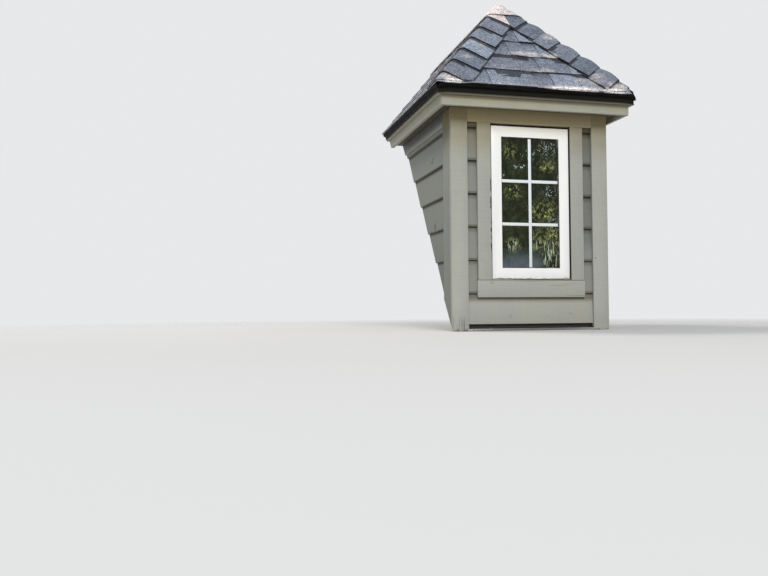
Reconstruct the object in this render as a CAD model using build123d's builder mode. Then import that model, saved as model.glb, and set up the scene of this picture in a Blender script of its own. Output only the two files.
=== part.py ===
from build123d import *
import os
from math import atan, cos, degrees, sin, sqrt

# Hip-roofed dormer window, framed, sheathed, trimmed and shingled.
# +X is to the right as seen from the front, +Y runs back into the main roof, +Z is up.
# The origin is on the bevelled underside of the front sill, in the middle of it,
# so the sloping surface that the dormer sits on passes through the origin.

# Main roof under the dormer
main_rise = 14.5
main_run = 12.0
roofing_clearance = 12.0
cut_allowance = 200.0

# Walls, seen from the front
overall_width = 890.0
trim_t = 25.0
sheathing_t = 12.0
stud_t = 38.0
stud_depth = 89.0
sill_min_height = 38.0
stud_spacing = 406.0
sheet_gap = 3.0

# Heights above the foot of the corner boards
eave_height = 1250.0
siding_bottom = 36.0
first_lap = 196.0
lap_exposure = 174.0
window_bottom = 273.0
apron_top = 266.0
apron_height = 91.0

# Drops below the eave
strip_drop = 55.0
soffit_drop = 85.0
fascia_drop = 105.0

# Trim
corner_front_width = 90.0
corner_side_width = 114.0
siding_strip_width = 54.0
casing_width = 76.0
apron_side_reach = 4.0
head_board_height = 74.0
siding_t = 8.0

# Window
window_side_gap = 5.0
window_top_gap = 8.0
head_reveal = 5.0
window_setback = 8.0
window_depth = 80.0
frame_face = 56.0
bead_width = 5.0
glass_recess = 10.0
glass_lip = 2.0
glass_bite = 8.0
glass_t = 20.0

# Dormer roof
roof_rise = 14.0
roof_run = 12.0
front_overhang = 94.0
side_overhang = 80.0
fascia_t = 19.0
soffit_t = 10.0
strip_t = 19.0
strip_groove = 3.0
strip_groove_height = 21.0
nose_reach = 13.0
deck_t = 12.0
rafter_depth = 89.0
hip_depth = 140.0
ridge_depth = 140.0
heel_cut = 22.0
plate_count = 2
valley_board_t = 19.0
valley_board_width = 140.0

# Drip edge
metal_t = 1.5
drip_flange = 80.0
drip_face = 18.0
drip_return = 6.0
drip_leg = 21.0
drip_kick = 6.0

# Roofing
shingle_overhang = 3.0
shingle_exposure = 143.0
shingle_butt = 9.0
shingle_head = 5.0
cap_t = 4.0
cap_wing = 140.0
cap_clearance = 0.2

# Slopes
main_tan = main_rise / main_run
main_cos = cos(atan(main_tan))
main_sin = sin(atan(main_tan))
pitch = roof_rise / roof_run
roof_cos = cos(atan(pitch))
roof_sin = sin(atan(pitch))
hip_cos = cos(atan(pitch / sqrt(2)))

# Layers of the front wall, front to back
stud_face_y = -stud_depth / 2
stud_back_y = stud_depth / 2
sheath_face_y = stud_face_y - sheathing_t
trim_face_y = sheath_face_y - trim_t

# Layers of a cheek, from its outer face inward
half_width = overall_width / 2
sheath_face_x = half_width - trim_t
stud_face_x = sheath_face_x - sheathing_t
corner_inner_x = half_width - corner_front_width
corner_back_y = sheath_face_y + corner_side_width

# The foot of the corner boards stands on the roofing of the main roof
roofing_lift = roofing_clearance / main_cos
foot_z = trim_face_y * main_tan + roofing_lift

# Nose of the drip edge, the outline that the roof is set out from
nose_x = half_width + side_overhang + strip_t + nose_reach
nose_y = trim_face_y - front_overhang - strip_t - nose_reach
eave_z = foot_z + eave_height
apex_y = nose_y + nose_x
strip_back = nose_reach + strip_t
fascia_back = strip_back + fascia_t
roof_length = (eave_z + nose_x * pitch) / main_tan - nose_y + cut_allowance

# Undersides of the eave's boards
strip_low_z = eave_z - strip_drop
soffit_z = eave_z - soffit_drop
soffit_top_z = soffit_z + soffit_t
fascia_low_z = eave_z - fascia_drop

# Window opening and the trim around it, which fill the space between the corner boards
casing_outer_x = corner_inner_x - siding_strip_width
opening_x = casing_outer_x - casing_width
apron_end_x = casing_outer_x + apron_side_reach
apron_top_z = foot_z + apron_top
apron_low_z = apron_top_z - apron_height
head_low_z = soffit_z - head_board_height
opening_top_z = head_low_z - head_reveal
window_high_z = opening_top_z - window_top_gap
window_low_z = foot_z + window_bottom
window_height = window_high_z - window_low_z
window_width = 2 * (opening_x - window_side_gap)
window_face_y = trim_face_y + window_setback


def top_z(run, depth=0.0):
    """Height of the roof deck's top, or of a plane that lies depth below it, at a run from the nose."""
    return eave_z + run * pitch - depth / roof_cos


def run_at(z, depth=0.0):
    """Run from the nose at which that plane reaches the height z."""
    return (z - eave_z + depth / roof_cos) / pitch


def slope_point(along, above):
    """Point in a roof section, along the slope from the nose and square above the deck."""
    return (along * roof_cos - above * roof_sin, eave_z + along * roof_sin + above * roof_cos)


# Wall positions as runs from the nose
wall_run = {"front": sheath_face_y - nose_y, "left": nose_x - sheath_face_x}
frame_depth = deck_t + rafter_depth
plate_top_z = top_z(wall_run["front"] + sheathing_t, frame_depth) + heel_cut
plate_low_z = plate_top_z - plate_count * stud_t
sill_top_z = stud_back_y * main_tan + sill_min_height
sole_lift = stud_t / main_cos

# Planes that pieces are set out on or cut to
section = {
    "front": Plane(origin=(0, nose_y, 0), x_dir=(0, 1, 0), z_dir=(1, 0, 0)),
    "left": Plane(origin=(-nose_x, nose_y, 0), x_dir=(1, 0, 0), z_dir=(0, -1, 0)),
}
seat_plane = Plane(origin=(0, 0, 0), x_dir=(1, 0, 0), z_dir=(0, -main_sin, main_cos))
roofing_plane = Plane(origin=(0, 0, roofing_lift), x_dir=(1, 0, 0), z_dir=(0, -main_sin, main_cos))
valley_top_plane = Plane(
    origin=(0, 0, valley_board_t / main_cos), x_dir=(1, 0, 0), z_dir=(0, -main_sin, main_cos)
)


def hip_plane(side, offset=0.0):
    """Vertical plane through a hip, facing away from the front slope, moved offset towards the side."""
    sign = -1 if side == "left" else 1
    normal = Vector(sign, 1, 0).normalized()
    corner = Vector(sign * nose_x, nose_y, 0)
    return Plane(origin=corner + normal * offset, x_dir=(0, 0, 1), z_dir=normal)


def upright_x(x):
    """Vertical plane at x that faces the left."""
    return Plane(origin=(x, 0, 0), x_dir=(0, 1, 0), z_dir=(-1, 0, 0))


def upright_y(y):
    """Vertical plane at y that faces the back."""
    return Plane(origin=(0, y, 0), x_dir=(1, 0, 0), z_dir=(0, 1, 0))


def level(z):
    """Level plane at z that faces up."""
    return Plane.XY.offset(z)


def deck_plane(side, depth=0.0):
    """Plane of a slope's deck top, or a parallel one depth below it, facing out of the roof."""
    if side == "front":
        return Plane(origin=(0, nose_y, top_z(0, depth)), x_dir=(1, 0, 0), z_dir=(0, -roof_sin, roof_cos))
    return Plane(origin=(-nose_x, 0, top_z(0, depth)), x_dir=(0, 1, 0), z_dir=(-roof_sin, 0, roof_cos))


def block(x, y, z, mode=Mode.ADD):
    """Square-cut piece between the low and high values of x, y and z."""
    with Locations(((x[0] + x[1]) / 2, (y[0] + y[1]) / 2, (z[0] + z[1]) / 2)):
        Box(x[1] - x[0], y[1] - y[0], z[1] - z[0], mode=mode)


def polygon(plane, points):
    """Closed outline on a plane, as a sketch to extrude."""
    with BuildSketch(plane) as outline:
        with BuildLine():
            Polyline(*points, close=True)
        make_face()
    return outline.sketch


def front_run(points, gap=0.0):
    """Profile run along the front eave and mitred at both hips."""
    extrude(polygon(section["front"], points), amount=nose_x + shingle_overhang, both=True)
    split(bisect_by=hip_plane("left", -gap / 2), keep=Keep.BOTTOM)
    split(bisect_by=hip_plane("right", -gap / 2), keep=Keep.BOTTOM)


def side_run(points, end_plane):
    """Profile run back along the left eave, mitred at the hip, cut to the main roof and mirrored."""
    extrude(polygon(section["left"].offset(shingle_overhang), points), amount=-roof_length)
    split(bisect_by=hip_plane("left"), keep=Keep.TOP)
    split(bisect_by=end_plane, keep=Keep.TOP)
    mirror(about=Plane.YZ)


os.makedirs("parts", exist_ok=True)


def finish(name, built):
    """Label a finished piece and write it out under its name."""
    built.part.label = name
    export_step(built.part, f"parts/{name}.step")


# Front sill, bevelled to the slope it sits on
with BuildPart() as front_sill:
    sill_outline = [
        (stud_face_y, stud_face_y * main_tan),
        (stud_back_y, stud_back_y * main_tan),
        (stud_back_y, sill_top_z),
        (stud_face_y, sill_top_z),
    ]
    extrude(polygon(Plane.YZ, sill_outline), amount=stud_face_x, both=True)
finish("front_sill", front_sill)

# Sole plates laid up the slope under the cheeks
with BuildPart() as sole_plates:
    sole_outline = [
        (stud_back_y, stud_back_y * main_tan),
        (plate_low_z / main_tan, plate_low_z),
        ((plate_low_z - sole_lift) / main_tan, plate_low_z),
        (stud_back_y, stud_back_y * main_tan + sole_lift),
    ]
    extrude(polygon(Plane.YZ.offset(-stud_face_x), sole_outline), amount=stud_depth)
    mirror(about=Plane.YZ)
finish("sole_plates", sole_plates)

# Uprights of the front wall
jack_outer_x = opening_x + stud_t
king_outer_x = jack_outer_x + stud_t
wall_y = (stud_face_y, stud_back_y)

with BuildPart() as corner_studs:
    block((-stud_face_x, -stud_face_x + stud_t), wall_y, (sill_top_z, plate_low_z))
    mirror(about=Plane.YZ)
finish("corner_studs", corner_studs)

with BuildPart() as king_studs:
    block((-king_outer_x, -jack_outer_x), wall_y, (sill_top_z, plate_low_z))
    mirror(about=Plane.YZ)
finish("king_studs", king_studs)

with BuildPart() as jack_studs:
    block((-jack_outer_x, -opening_x), wall_y, (sill_top_z, opening_top_z))
    mirror(about=Plane.YZ)
finish("jack_studs", jack_studs)

with BuildPart() as window_header:
    block((-jack_outer_x, jack_outer_x), wall_y, (opening_top_z, plate_low_z))
finish("window_header", window_header)

with BuildPart() as rough_sill:
    block((-opening_x, opening_x), wall_y, (window_low_z - stud_t, window_low_z))
finish("rough_sill", rough_sill)

with BuildPart() as sill_cripples:
    cripple_z = (sill_top_z, window_low_z - stud_t)
    block((-stud_t / 2, stud_t / 2), wall_y, cripple_z)
    block((-opening_x, -opening_x + stud_t), wall_y, cripple_z)
    block((opening_x - stud_t, opening_x), wall_y, cripple_z)
finish("sill_cripples", sill_cripples)

# Cheek studs, cut to the slope of the sole plates
with BuildPart() as cheek_studs:
    stud_front_y = stud_back_y
    while (stud_front_y + stud_t) * main_tan + sole_lift + stud_t < plate_low_z:
        stud_rear_y = stud_front_y + stud_t
        stud_outline = [
            (stud_front_y, stud_front_y * main_tan + sole_lift),
            (stud_rear_y, stud_rear_y * main_tan + sole_lift),
            (stud_rear_y, plate_low_z),
            (stud_front_y, plate_low_z),
        ]
        extrude(polygon(Plane.YZ.offset(-stud_face_x), stud_outline), amount=stud_depth)
        stud_front_y += stud_spacing
    mirror(about=Plane.YZ)
finish("cheek_studs", cheek_studs)

# Top plates
with BuildPart() as front_top_plate:
    block((-stud_face_x, stud_face_x), wall_y, (plate_low_z, plate_top_z))
finish("front_top_plate", front_top_plate)

with BuildPart() as cheek_top_plates:
    plate_outline = [
        (stud_back_y, plate_low_z),
        (plate_low_z / main_tan, plate_low_z),
        (plate_top_z / main_tan, plate_top_z),
        (stud_back_y, plate_top_z),
    ]
    extrude(polygon(Plane.YZ.offset(-stud_face_x), plate_outline), amount=stud_depth)
    mirror(about=Plane.YZ)
finish("cheek_top_plates", cheek_top_plates)

# Ridge board
ridge_run = nose_x - stud_t / 2
ridge_top_z = top_z(ridge_run, deck_t)
ridge_low_z = ridge_top_z - ridge_depth

with BuildPart() as ridge_board:
    ridge_outline = [
        (apex_y - stud_t / 2, ridge_low_z),
        (ridge_low_z / main_tan, ridge_low_z),
        (ridge_top_z / main_tan, ridge_top_z),
        (apex_y - stud_t / 2, ridge_top_z),
    ]
    extrude(polygon(Plane.YZ, ridge_outline), amount=stud_t / 2, both=True)
finish("ridge_board", ridge_board)

# Hip rafters: backed to both slopes, seated on the plates, with a double cheek cut at the ridge
hip_section = Plane(origin=(-nose_x, nose_y, 0), x_dir=(1, 1, 0), z_dir=(1, -1, 0))
hip_pitch = pitch / sqrt(2)
hip_end = nose_x * sqrt(2)
hip_top_start = top_z(0, deck_t)
hip_top_end = hip_top_start + hip_end * hip_pitch
hip_plumb = hip_depth / hip_cos

with BuildPart() as left_hip_rafter:
    hip_outline = [
        (0, hip_top_start),
        (hip_end, hip_top_end),
        (hip_end, hip_top_end - hip_plumb),
        (0, hip_top_start - hip_plumb),
    ]
    extrude(polygon(hip_section, hip_outline), amount=stud_t / 2, both=True)
    split(bisect_by=deck_plane("front", deck_t), keep=Keep.BOTTOM)
    split(bisect_by=deck_plane("left", deck_t), keep=Keep.BOTTOM)
    split(bisect_by=upright_x(-nose_x + fascia_back), keep=Keep.BOTTOM)
    split(bisect_by=upright_y(nose_y + fascia_back), keep=Keep.TOP)
    split(bisect_by=level(soffit_top_z), keep=Keep.TOP)
    split(bisect_by=upright_x(-stud_t / 2), keep=Keep.TOP)
    split(bisect_by=upright_y(apex_y), keep=Keep.BOTTOM)
    block((-sheath_face_x, 0), (sheath_face_y, apex_y), (foot_z, plate_top_z), mode=Mode.SUBTRACT)
finish("left_hip_rafter", left_hip_rafter)

with BuildPart() as right_hip_rafter:
    add(mirror(left_hip_rafter.part, about=Plane.YZ))
finish("right_hip_rafter", right_hip_rafter)


# Common and jack rafters
def rafter_outline(bearing, end_run):
    """Side view of a rafter with a plumb tail and a birdsmouth over the plate at the run bearing."""
    return [
        (fascia_back, top_z(fascia_back, deck_t)),
        (end_run, top_z(end_run, deck_t)),
        (end_run, top_z(end_run, frame_depth)),
        (run_at(plate_top_z, frame_depth), plate_top_z),
        (bearing, plate_top_z),
        (bearing, top_z(bearing, frame_depth)),
        (fascia_back, top_z(fascia_back, frame_depth)),
    ]


front_rafter = rafter_outline(wall_run["front"] + sheathing_t, ridge_run)
side_rafter = rafter_outline(wall_run["left"] + sheathing_t, ridge_run)

with BuildPart() as front_rafters:
    jack_outline = polygon(section["front"].offset(stud_spacing / 2), front_rafter)
    extrude(jack_outline, amount=stud_t / 2, both=True)
    split(bisect_by=hip_plane("right", -stud_t / 2), keep=Keep.BOTTOM)
    mirror(about=Plane.YZ)
    extrude(polygon(section["front"], front_rafter), amount=stud_t / 2, both=True)
    split(bisect_by=level(soffit_top_z), keep=Keep.TOP)
finish("front_rafters", front_rafters)

with BuildPart() as side_rafters:
    jack_y = apex_y - stud_spacing / 2
    jack_outline = polygon(section["left"].offset(nose_y - jack_y), side_rafter)
    extrude(jack_outline, amount=stud_t / 2, both=True)
    split(bisect_by=hip_plane("left", stud_t / 2), keep=Keep.TOP)
    rafter_y = apex_y + stud_t / 2
    while rafter_y + stud_t < ridge_low_z / main_tan:
        common_outline = polygon(section["left"].offset(nose_y - rafter_y), side_rafter)
        extrude(common_outline, amount=stud_t / 2, both=True)
        rafter_y += stud_spacing
    split(bisect_by=level(soffit_top_z), keep=Keep.TOP)
    split(bisect_by=valley_top_plane, keep=Keep.TOP)
    mirror(about=Plane.YZ)
finish("side_rafters", side_rafters)

# Valley boards laid on the main roof under the feet of the rafters
valley_dir = Vector(main_tan, pitch, 0).normalized()
valley_side = Vector(-valley_dir.Y, valley_dir.X, 0)
valley_x = -nose_x + run_at(plate_top_z, deck_t)
valley_start = Vector(valley_x, plate_top_z / main_tan, 0)

with BuildPart() as valley_boards:
    with BuildSketch(seat_plane):
        Rectangle(2 * nose_x, 4 * roof_length)
    extrude(amount=valley_board_t)
    split(bisect_by=deck_plane("left", deck_t), keep=Keep.BOTTOM)
    split(bisect_by=level(plate_top_z), keep=Keep.TOP)
    split(bisect_by=upright_x(-stud_t / 2), keep=Keep.TOP)
    inner_edge = Plane(
        origin=valley_start - valley_side * valley_board_width, x_dir=valley_dir, z_dir=valley_side
    )
    split(bisect_by=inner_edge, keep=Keep.TOP)
    mirror(about=Plane.YZ)
finish("valley_boards", valley_boards)

# Wall sheathing, in sheets beside, under and over the window
with BuildPart() as front_sheathing:
    sheath_y = (sheath_face_y, stud_face_y)
    sheath_top_z = top_z(wall_run["front"], frame_depth) - sheet_gap
    block((-stud_face_x, -opening_x), sheath_y, (foot_z, sheath_top_z))
    block((opening_x, stud_face_x), sheath_y, (foot_z, sheath_top_z))
    between_x = (-opening_x + sheet_gap, opening_x - sheet_gap)
    block(between_x, sheath_y, (foot_z, window_low_z))
    block(between_x, sheath_y, (opening_top_z, sheath_top_z))
    split(bisect_by=seat_plane, keep=Keep.TOP)
finish("front_sheathing", front_sheathing)

with BuildPart() as cheek_sheathing:
    cheek_top_z = top_z(wall_run["left"], frame_depth) - sheet_gap
    block((-sheath_face_x, -stud_face_x), (sheath_face_y, roof_length), (foot_z, cheek_top_z))
    split(bisect_by=seat_plane, keep=Keep.TOP)
    mirror(about=Plane.YZ)
finish("cheek_sheathing", cheek_sheathing)

# Corner boards
with BuildPart() as front_corner_boards:
    block((-half_width, -corner_inner_x), (trim_face_y, sheath_face_y), (foot_z, soffit_z))
    split(bisect_by=roofing_plane, keep=Keep.TOP)
    mirror(about=Plane.YZ)
finish("front_corner_boards", front_corner_boards)

with BuildPart() as side_corner_boards:
    block((-half_width, -sheath_face_x), (sheath_face_y, corner_back_y), (foot_z, soffit_z))
    split(bisect_by=roofing_plane, keep=Keep.TOP)
    mirror(about=Plane.YZ)
finish("side_corner_boards", side_corner_boards)

# Window trim
with BuildPart() as head_board:
    block((-corner_inner_x, corner_inner_x), (trim_face_y, sheath_face_y), (head_low_z, soffit_z))
finish("head_board", head_board)

with BuildPart() as side_casings:
    block((-casing_outer_x, -opening_x), (trim_face_y, sheath_face_y), (apron_top_z, head_low_z))
    mirror(about=Plane.YZ)
finish("side_casings", side_casings)

with BuildPart() as apron_board:
    block((-apron_end_x, apron_end_x), (trim_face_y, sheath_face_y), (apron_low_z, apron_top_z))
finish("apron_board", apron_board)

with BuildPart() as cheek_friezes:
    block((-half_width, -sheath_face_x), (corner_back_y, roof_length), (head_low_z, soffit_z))
    split(bisect_by=roofing_plane, keep=Keep.TOP)
    mirror(about=Plane.YZ)
finish("cheek_friezes", cheek_friezes)


# Lap siding: each board stands proud of the one below it
def siding_outline(side, low_z, high_z):
    """Section through lap siding between two heights, on the sheathing of one side."""
    lap_z = [foot_z + siding_bottom, foot_z + first_lap]
    while lap_z[-1] < high_z:
        lap_z.append(lap_z[-1] + lap_exposure)
    face = wall_run[side]
    points = [(face, low_z)]
    for board_low, board_high in zip(lap_z, lap_z[1:]):
        start = max(board_low, low_z)
        stop = min(board_high, high_z)
        if start < stop:
            fall = siding_t / (board_high - board_low)
            points.append((face - 2 * siding_t + (start - board_low) * fall, start))
            points.append((face - 2 * siding_t + (stop - board_low) * fall, stop))
    points.append((face, high_z))
    return points


with BuildPart() as bottom_siding:
    lap_outline = siding_outline("front", foot_z + siding_bottom, apron_low_z)
    extrude(polygon(section["front"], lap_outline), amount=corner_inner_x, both=True)
finish("bottom_siding", bottom_siding)

with BuildPart() as siding_strips:
    lap_outline = siding_outline("front", apron_low_z, head_low_z)
    strip_width = corner_inner_x - casing_outer_x
    extrude(polygon(section["front"].offset(-corner_inner_x), lap_outline), amount=strip_width)
    apron_y = (trim_face_y, sheath_face_y)
    block((-apron_end_x, 0), apron_y, (apron_low_z, apron_top_z), mode=Mode.SUBTRACT)
    mirror(about=Plane.YZ)
finish("siding_strips", siding_strips)

with BuildPart() as cheek_siding:
    cheek_start = section["left"].offset(nose_y - corner_back_y)
    lap_outline = siding_outline("left", foot_z + siding_bottom, head_low_z)
    extrude(polygon(cheek_start, lap_outline), amount=-roof_length)
    split(bisect_by=roofing_plane, keep=Keep.TOP)
    mirror(about=Plane.YZ)
finish("cheek_siding", cheek_siding)

# Roof deck
deck_outline = [
    (nose_reach, top_z(nose_reach, deck_t)),
    (nose_x, top_z(nose_x, deck_t)),
    (nose_x, top_z(nose_x)),
    (nose_reach, top_z(nose_reach)),
]

with BuildPart() as front_roof_deck:
    front_run(deck_outline, sheet_gap)
finish("front_roof_deck", front_roof_deck)

with BuildPart() as side_roof_decks:
    extrude(polygon(section["left"].offset(shingle_overhang), deck_outline), amount=-roof_length)
    split(bisect_by=hip_plane("left", sheet_gap / 2), keep=Keep.TOP)
    split(bisect_by=seat_plane, keep=Keep.TOP)
    split(bisect_by=upright_x(-sheet_gap / 2), keep=Keep.TOP)
    mirror(about=Plane.YZ)
finish("side_roof_decks", side_roof_decks)

# Fascia, its top edge bevelled to the underside of the deck
fascia_outline = [
    (strip_back, fascia_low_z),
    (fascia_back, fascia_low_z),
    (fascia_back, top_z(fascia_back, deck_t)),
    (strip_back, top_z(strip_back, deck_t)),
]

with BuildPart() as front_fascia:
    front_run(fascia_outline)
finish("front_fascia", front_fascia)

with BuildPart() as side_fascias:
    side_run(fascia_outline, roofing_plane)
finish("side_fascias", side_fascias)


# Soffit boards
def soffit_outline(side):
    """Section through the soffit of one side, from the fascia to the wall."""
    return [
        (fascia_back, soffit_z),
        (wall_run[side], soffit_z),
        (wall_run[side], soffit_top_z),
        (fascia_back, soffit_top_z),
    ]


with BuildPart() as front_soffit:
    front_run(soffit_outline("front"))
finish("front_soffit", front_soffit)

with BuildPart() as side_soffits:
    side_run(soffit_outline("left"), roofing_plane)
finish("side_soffits", side_soffits)

# Eave strip over the fascia, with a groove along its face
groove_z = strip_low_z + strip_groove_height
strip_outline = [
    (nose_reach, strip_low_z),
    (strip_back, strip_low_z),
    (strip_back, top_z(strip_back, deck_t)),
    (nose_reach, top_z(nose_reach, deck_t)),
    (nose_reach, groove_z + strip_groove),
    (nose_reach + strip_groove, groove_z + strip_groove / 2),
    (nose_reach, groove_z),
]

with BuildPart() as front_eave_strip:
    front_run(strip_outline)
finish("front_eave_strip", front_eave_strip)

with BuildPart() as side_eave_strips:
    side_run(strip_outline, roofing_plane)
finish("side_eave_strips", side_eave_strips)

# Drip edge, folded from one sheet: flange, nose, return, leg and kick
drip_nose_low_z = top_z(metal_t) - drip_face
drip_leg_top_z = drip_nose_low_z - drip_return
drip_leg_low_z = drip_leg_top_z - drip_leg
drip_path = [
    slope_point(drip_flange, 0),
    (metal_t, top_z(metal_t)),
    (metal_t, drip_nose_low_z),
    (nose_reach, drip_leg_top_z),
    (nose_reach, drip_leg_low_z),
    (nose_reach - drip_kick, drip_leg_low_z - drip_kick),
]


def drip_section(plane):
    """Folded sheet section, its thickness outside the path, as a sketch to extrude."""
    with BuildSketch(plane) as outline:
        with BuildLine():
            Polyline(*drip_path)
            offset(amount=metal_t, side=Side.RIGHT, kind=Kind.INTERSECTION)
        make_face()
    return outline.sketch


with BuildPart() as front_drip_edge:
    extrude(drip_section(section["front"]), amount=nose_x, both=True)
    split(bisect_by=hip_plane("left"), keep=Keep.BOTTOM)
    split(bisect_by=hip_plane("right"), keep=Keep.BOTTOM)
finish("front_drip_edge", front_drip_edge)

with BuildPart() as side_drip_edges:
    extrude(drip_section(section["left"]), amount=-roof_length)
    split(bisect_by=hip_plane("left"), keep=Keep.TOP)
    split(bisect_by=roofing_plane, keep=Keep.TOP)
    mirror(about=Plane.YZ)
finish("side_drip_edges", side_drip_edges)

# Window: welded frame with a sloping bead, and the sealed glass behind it
window_mid_z = (window_low_z + window_high_z) / 2
window_plane = Plane(origin=(0, window_face_y, window_mid_z), x_dir=(1, 0, 0), z_dir=(0, -1, 0))
face_hole_width = window_width - 2 * frame_face
face_hole_height = window_height - 2 * frame_face
sight_width = face_hole_width - 2 * bead_width
sight_height = face_hole_height - 2 * bead_width
glass_face = glass_recess + glass_lip

with BuildPart() as window_frame:
    with BuildSketch(window_plane):
        Rectangle(window_width, window_height)
        Rectangle(sight_width, sight_height, mode=Mode.SUBTRACT)
    extrude(amount=-window_depth)
    with BuildSketch(window_plane):
        Rectangle(face_hole_width, face_hole_height)
    extrude(amount=-glass_recess, taper=degrees(atan(bead_width / glass_recess)), mode=Mode.SUBTRACT)
    with BuildSketch(window_plane.offset(-glass_face)):
        Rectangle(sight_width + 2 * glass_bite, sight_height + 2 * glass_bite)
    extrude(amount=glass_face - window_depth, mode=Mode.SUBTRACT)
finish("window_frame", window_frame)

with BuildPart() as window_glass:
    with BuildSketch(window_plane.offset(-glass_face)):
        Rectangle(sight_width + 2 * glass_bite, sight_height + 2 * glass_bite)
    extrude(amount=-glass_t)
finish("window_glass", window_glass)


# Roofing: courses lapped up each slope over the flange of the drip edge
def shingle_outline():
    """Section through the courses of one slope, each with a raised lower edge."""
    ridge_along = nose_x / roof_cos
    start = -shingle_overhang / roof_cos
    points = [slope_point(start, metal_t)]
    while start < ridge_along:
        stop = start + shingle_exposure
        points.append(slope_point(start, shingle_butt))
        points.append(slope_point(stop, shingle_head))
        start = stop
    points.append(slope_point(start, 0))
    points.append(slope_point(drip_flange, 0))
    points.append(slope_point(drip_flange, metal_t))
    return points


with BuildPart() as front_shingles:
    front_run(shingle_outline())
finish("front_shingles", front_shingles)

with BuildPart() as side_shingles:
    extrude(polygon(section["left"].offset(shingle_overhang), shingle_outline()), amount=-roof_length)
    split(bisect_by=hip_plane("left"), keep=Keep.TOP)
    split(bisect_by=roofing_plane, keep=Keep.TOP)
    split(bisect_by=upright_x(-sheet_gap / 2), keep=Keep.TOP)
    mirror(about=Plane.YZ)
finish("side_shingles", side_shingles)

# Hip caps folded over both slopes, and the ridge cap behind them
cap_low = shingle_butt + cap_clearance
cap_outline = [
    slope_point(-shingle_overhang / roof_cos, cap_low),
    slope_point(nose_x / roof_cos + cap_wing, cap_low),
    slope_point(nose_x / roof_cos + cap_wing, cap_low + cap_t),
    slope_point(-shingle_overhang / roof_cos, cap_low + cap_t),
]
hip_wing = cap_wing * sqrt((1 + roof_cos**2) / 2)
ridge_wing = cap_wing * roof_cos

with BuildPart() as front_wing:
    extrude(polygon(section["front"], cap_outline), amount=-nose_x)
    split(bisect_by=hip_plane("left"), keep=Keep.BOTTOM)
    split(bisect_by=hip_plane("left", -hip_wing), keep=Keep.TOP)
    split(bisect_by=upright_x(0), keep=Keep.TOP)

with BuildPart() as left_hip_cap:
    extrude(polygon(section["left"].offset(shingle_overhang), cap_outline), amount=-roof_length)
    split(bisect_by=hip_plane("left"), keep=Keep.TOP)
    split(bisect_by=hip_plane("left", hip_wing), keep=Keep.BOTTOM)
    split(bisect_by=upright_x(0), keep=Keep.TOP)
    split(bisect_by=upright_y(apex_y), keep=Keep.BOTTOM)
    add(front_wing.part)
finish("left_hip_cap", left_hip_cap)

with BuildPart() as right_hip_cap:
    add(mirror(left_hip_cap.part, about=Plane.YZ))
finish("right_hip_cap", right_hip_cap)

with BuildPart() as ridge_cap:
    extrude(polygon(section["left"].offset(nose_y - apex_y), cap_outline), amount=-roof_length)
    split(bisect_by=roofing_plane, keep=Keep.TOP)
    split(bisect_by=upright_x(0), keep=Keep.TOP)
    split(bisect_by=upright_x(-ridge_wing), keep=Keep.BOTTOM)
    mirror(about=Plane.YZ)
finish("ridge_cap", ridge_cap)
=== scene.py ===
"""Looks of a hip-roofed dormer window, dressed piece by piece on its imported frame."""

import logging
import math
import random
from collections.abc import Callable, Iterable, Sequence
from dataclasses import dataclass, field, replace
from enum import Enum
from typing import Protocol

import bmesh
import bpy
from bmesh.types import BMEdge, BMesh, BMFace, BMVert
from bpy.types import Material, Mesh, Node, NodeTree, Object
from bpy.types import NodeSocket as Socket
from mathutils import Matrix, Vector


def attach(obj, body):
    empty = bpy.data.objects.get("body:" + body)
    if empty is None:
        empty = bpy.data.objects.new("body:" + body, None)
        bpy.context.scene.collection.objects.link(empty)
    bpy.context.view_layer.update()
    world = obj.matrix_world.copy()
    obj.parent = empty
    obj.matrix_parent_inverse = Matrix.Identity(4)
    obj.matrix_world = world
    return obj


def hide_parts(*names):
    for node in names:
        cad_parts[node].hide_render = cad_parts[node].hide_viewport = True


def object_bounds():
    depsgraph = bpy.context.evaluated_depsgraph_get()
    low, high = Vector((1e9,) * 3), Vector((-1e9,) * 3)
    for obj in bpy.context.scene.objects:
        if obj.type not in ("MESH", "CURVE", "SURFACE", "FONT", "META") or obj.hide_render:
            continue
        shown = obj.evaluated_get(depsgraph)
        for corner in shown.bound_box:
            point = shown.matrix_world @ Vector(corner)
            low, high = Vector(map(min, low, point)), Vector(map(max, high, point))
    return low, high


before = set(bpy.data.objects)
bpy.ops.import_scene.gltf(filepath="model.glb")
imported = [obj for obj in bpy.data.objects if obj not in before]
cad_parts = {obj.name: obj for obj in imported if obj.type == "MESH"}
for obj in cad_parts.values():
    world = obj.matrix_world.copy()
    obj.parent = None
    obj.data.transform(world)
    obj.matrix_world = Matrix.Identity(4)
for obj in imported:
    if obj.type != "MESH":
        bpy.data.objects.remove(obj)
cad_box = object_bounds()

log = logging.getLogger("dormer")

Triple = tuple[float, float, float]
Colour = Triple
Oval = tuple[float, float, float, float]
Placer = Callable[[float, float, float], Vector]

ROOT = "root"
TINT = "tint"

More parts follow.
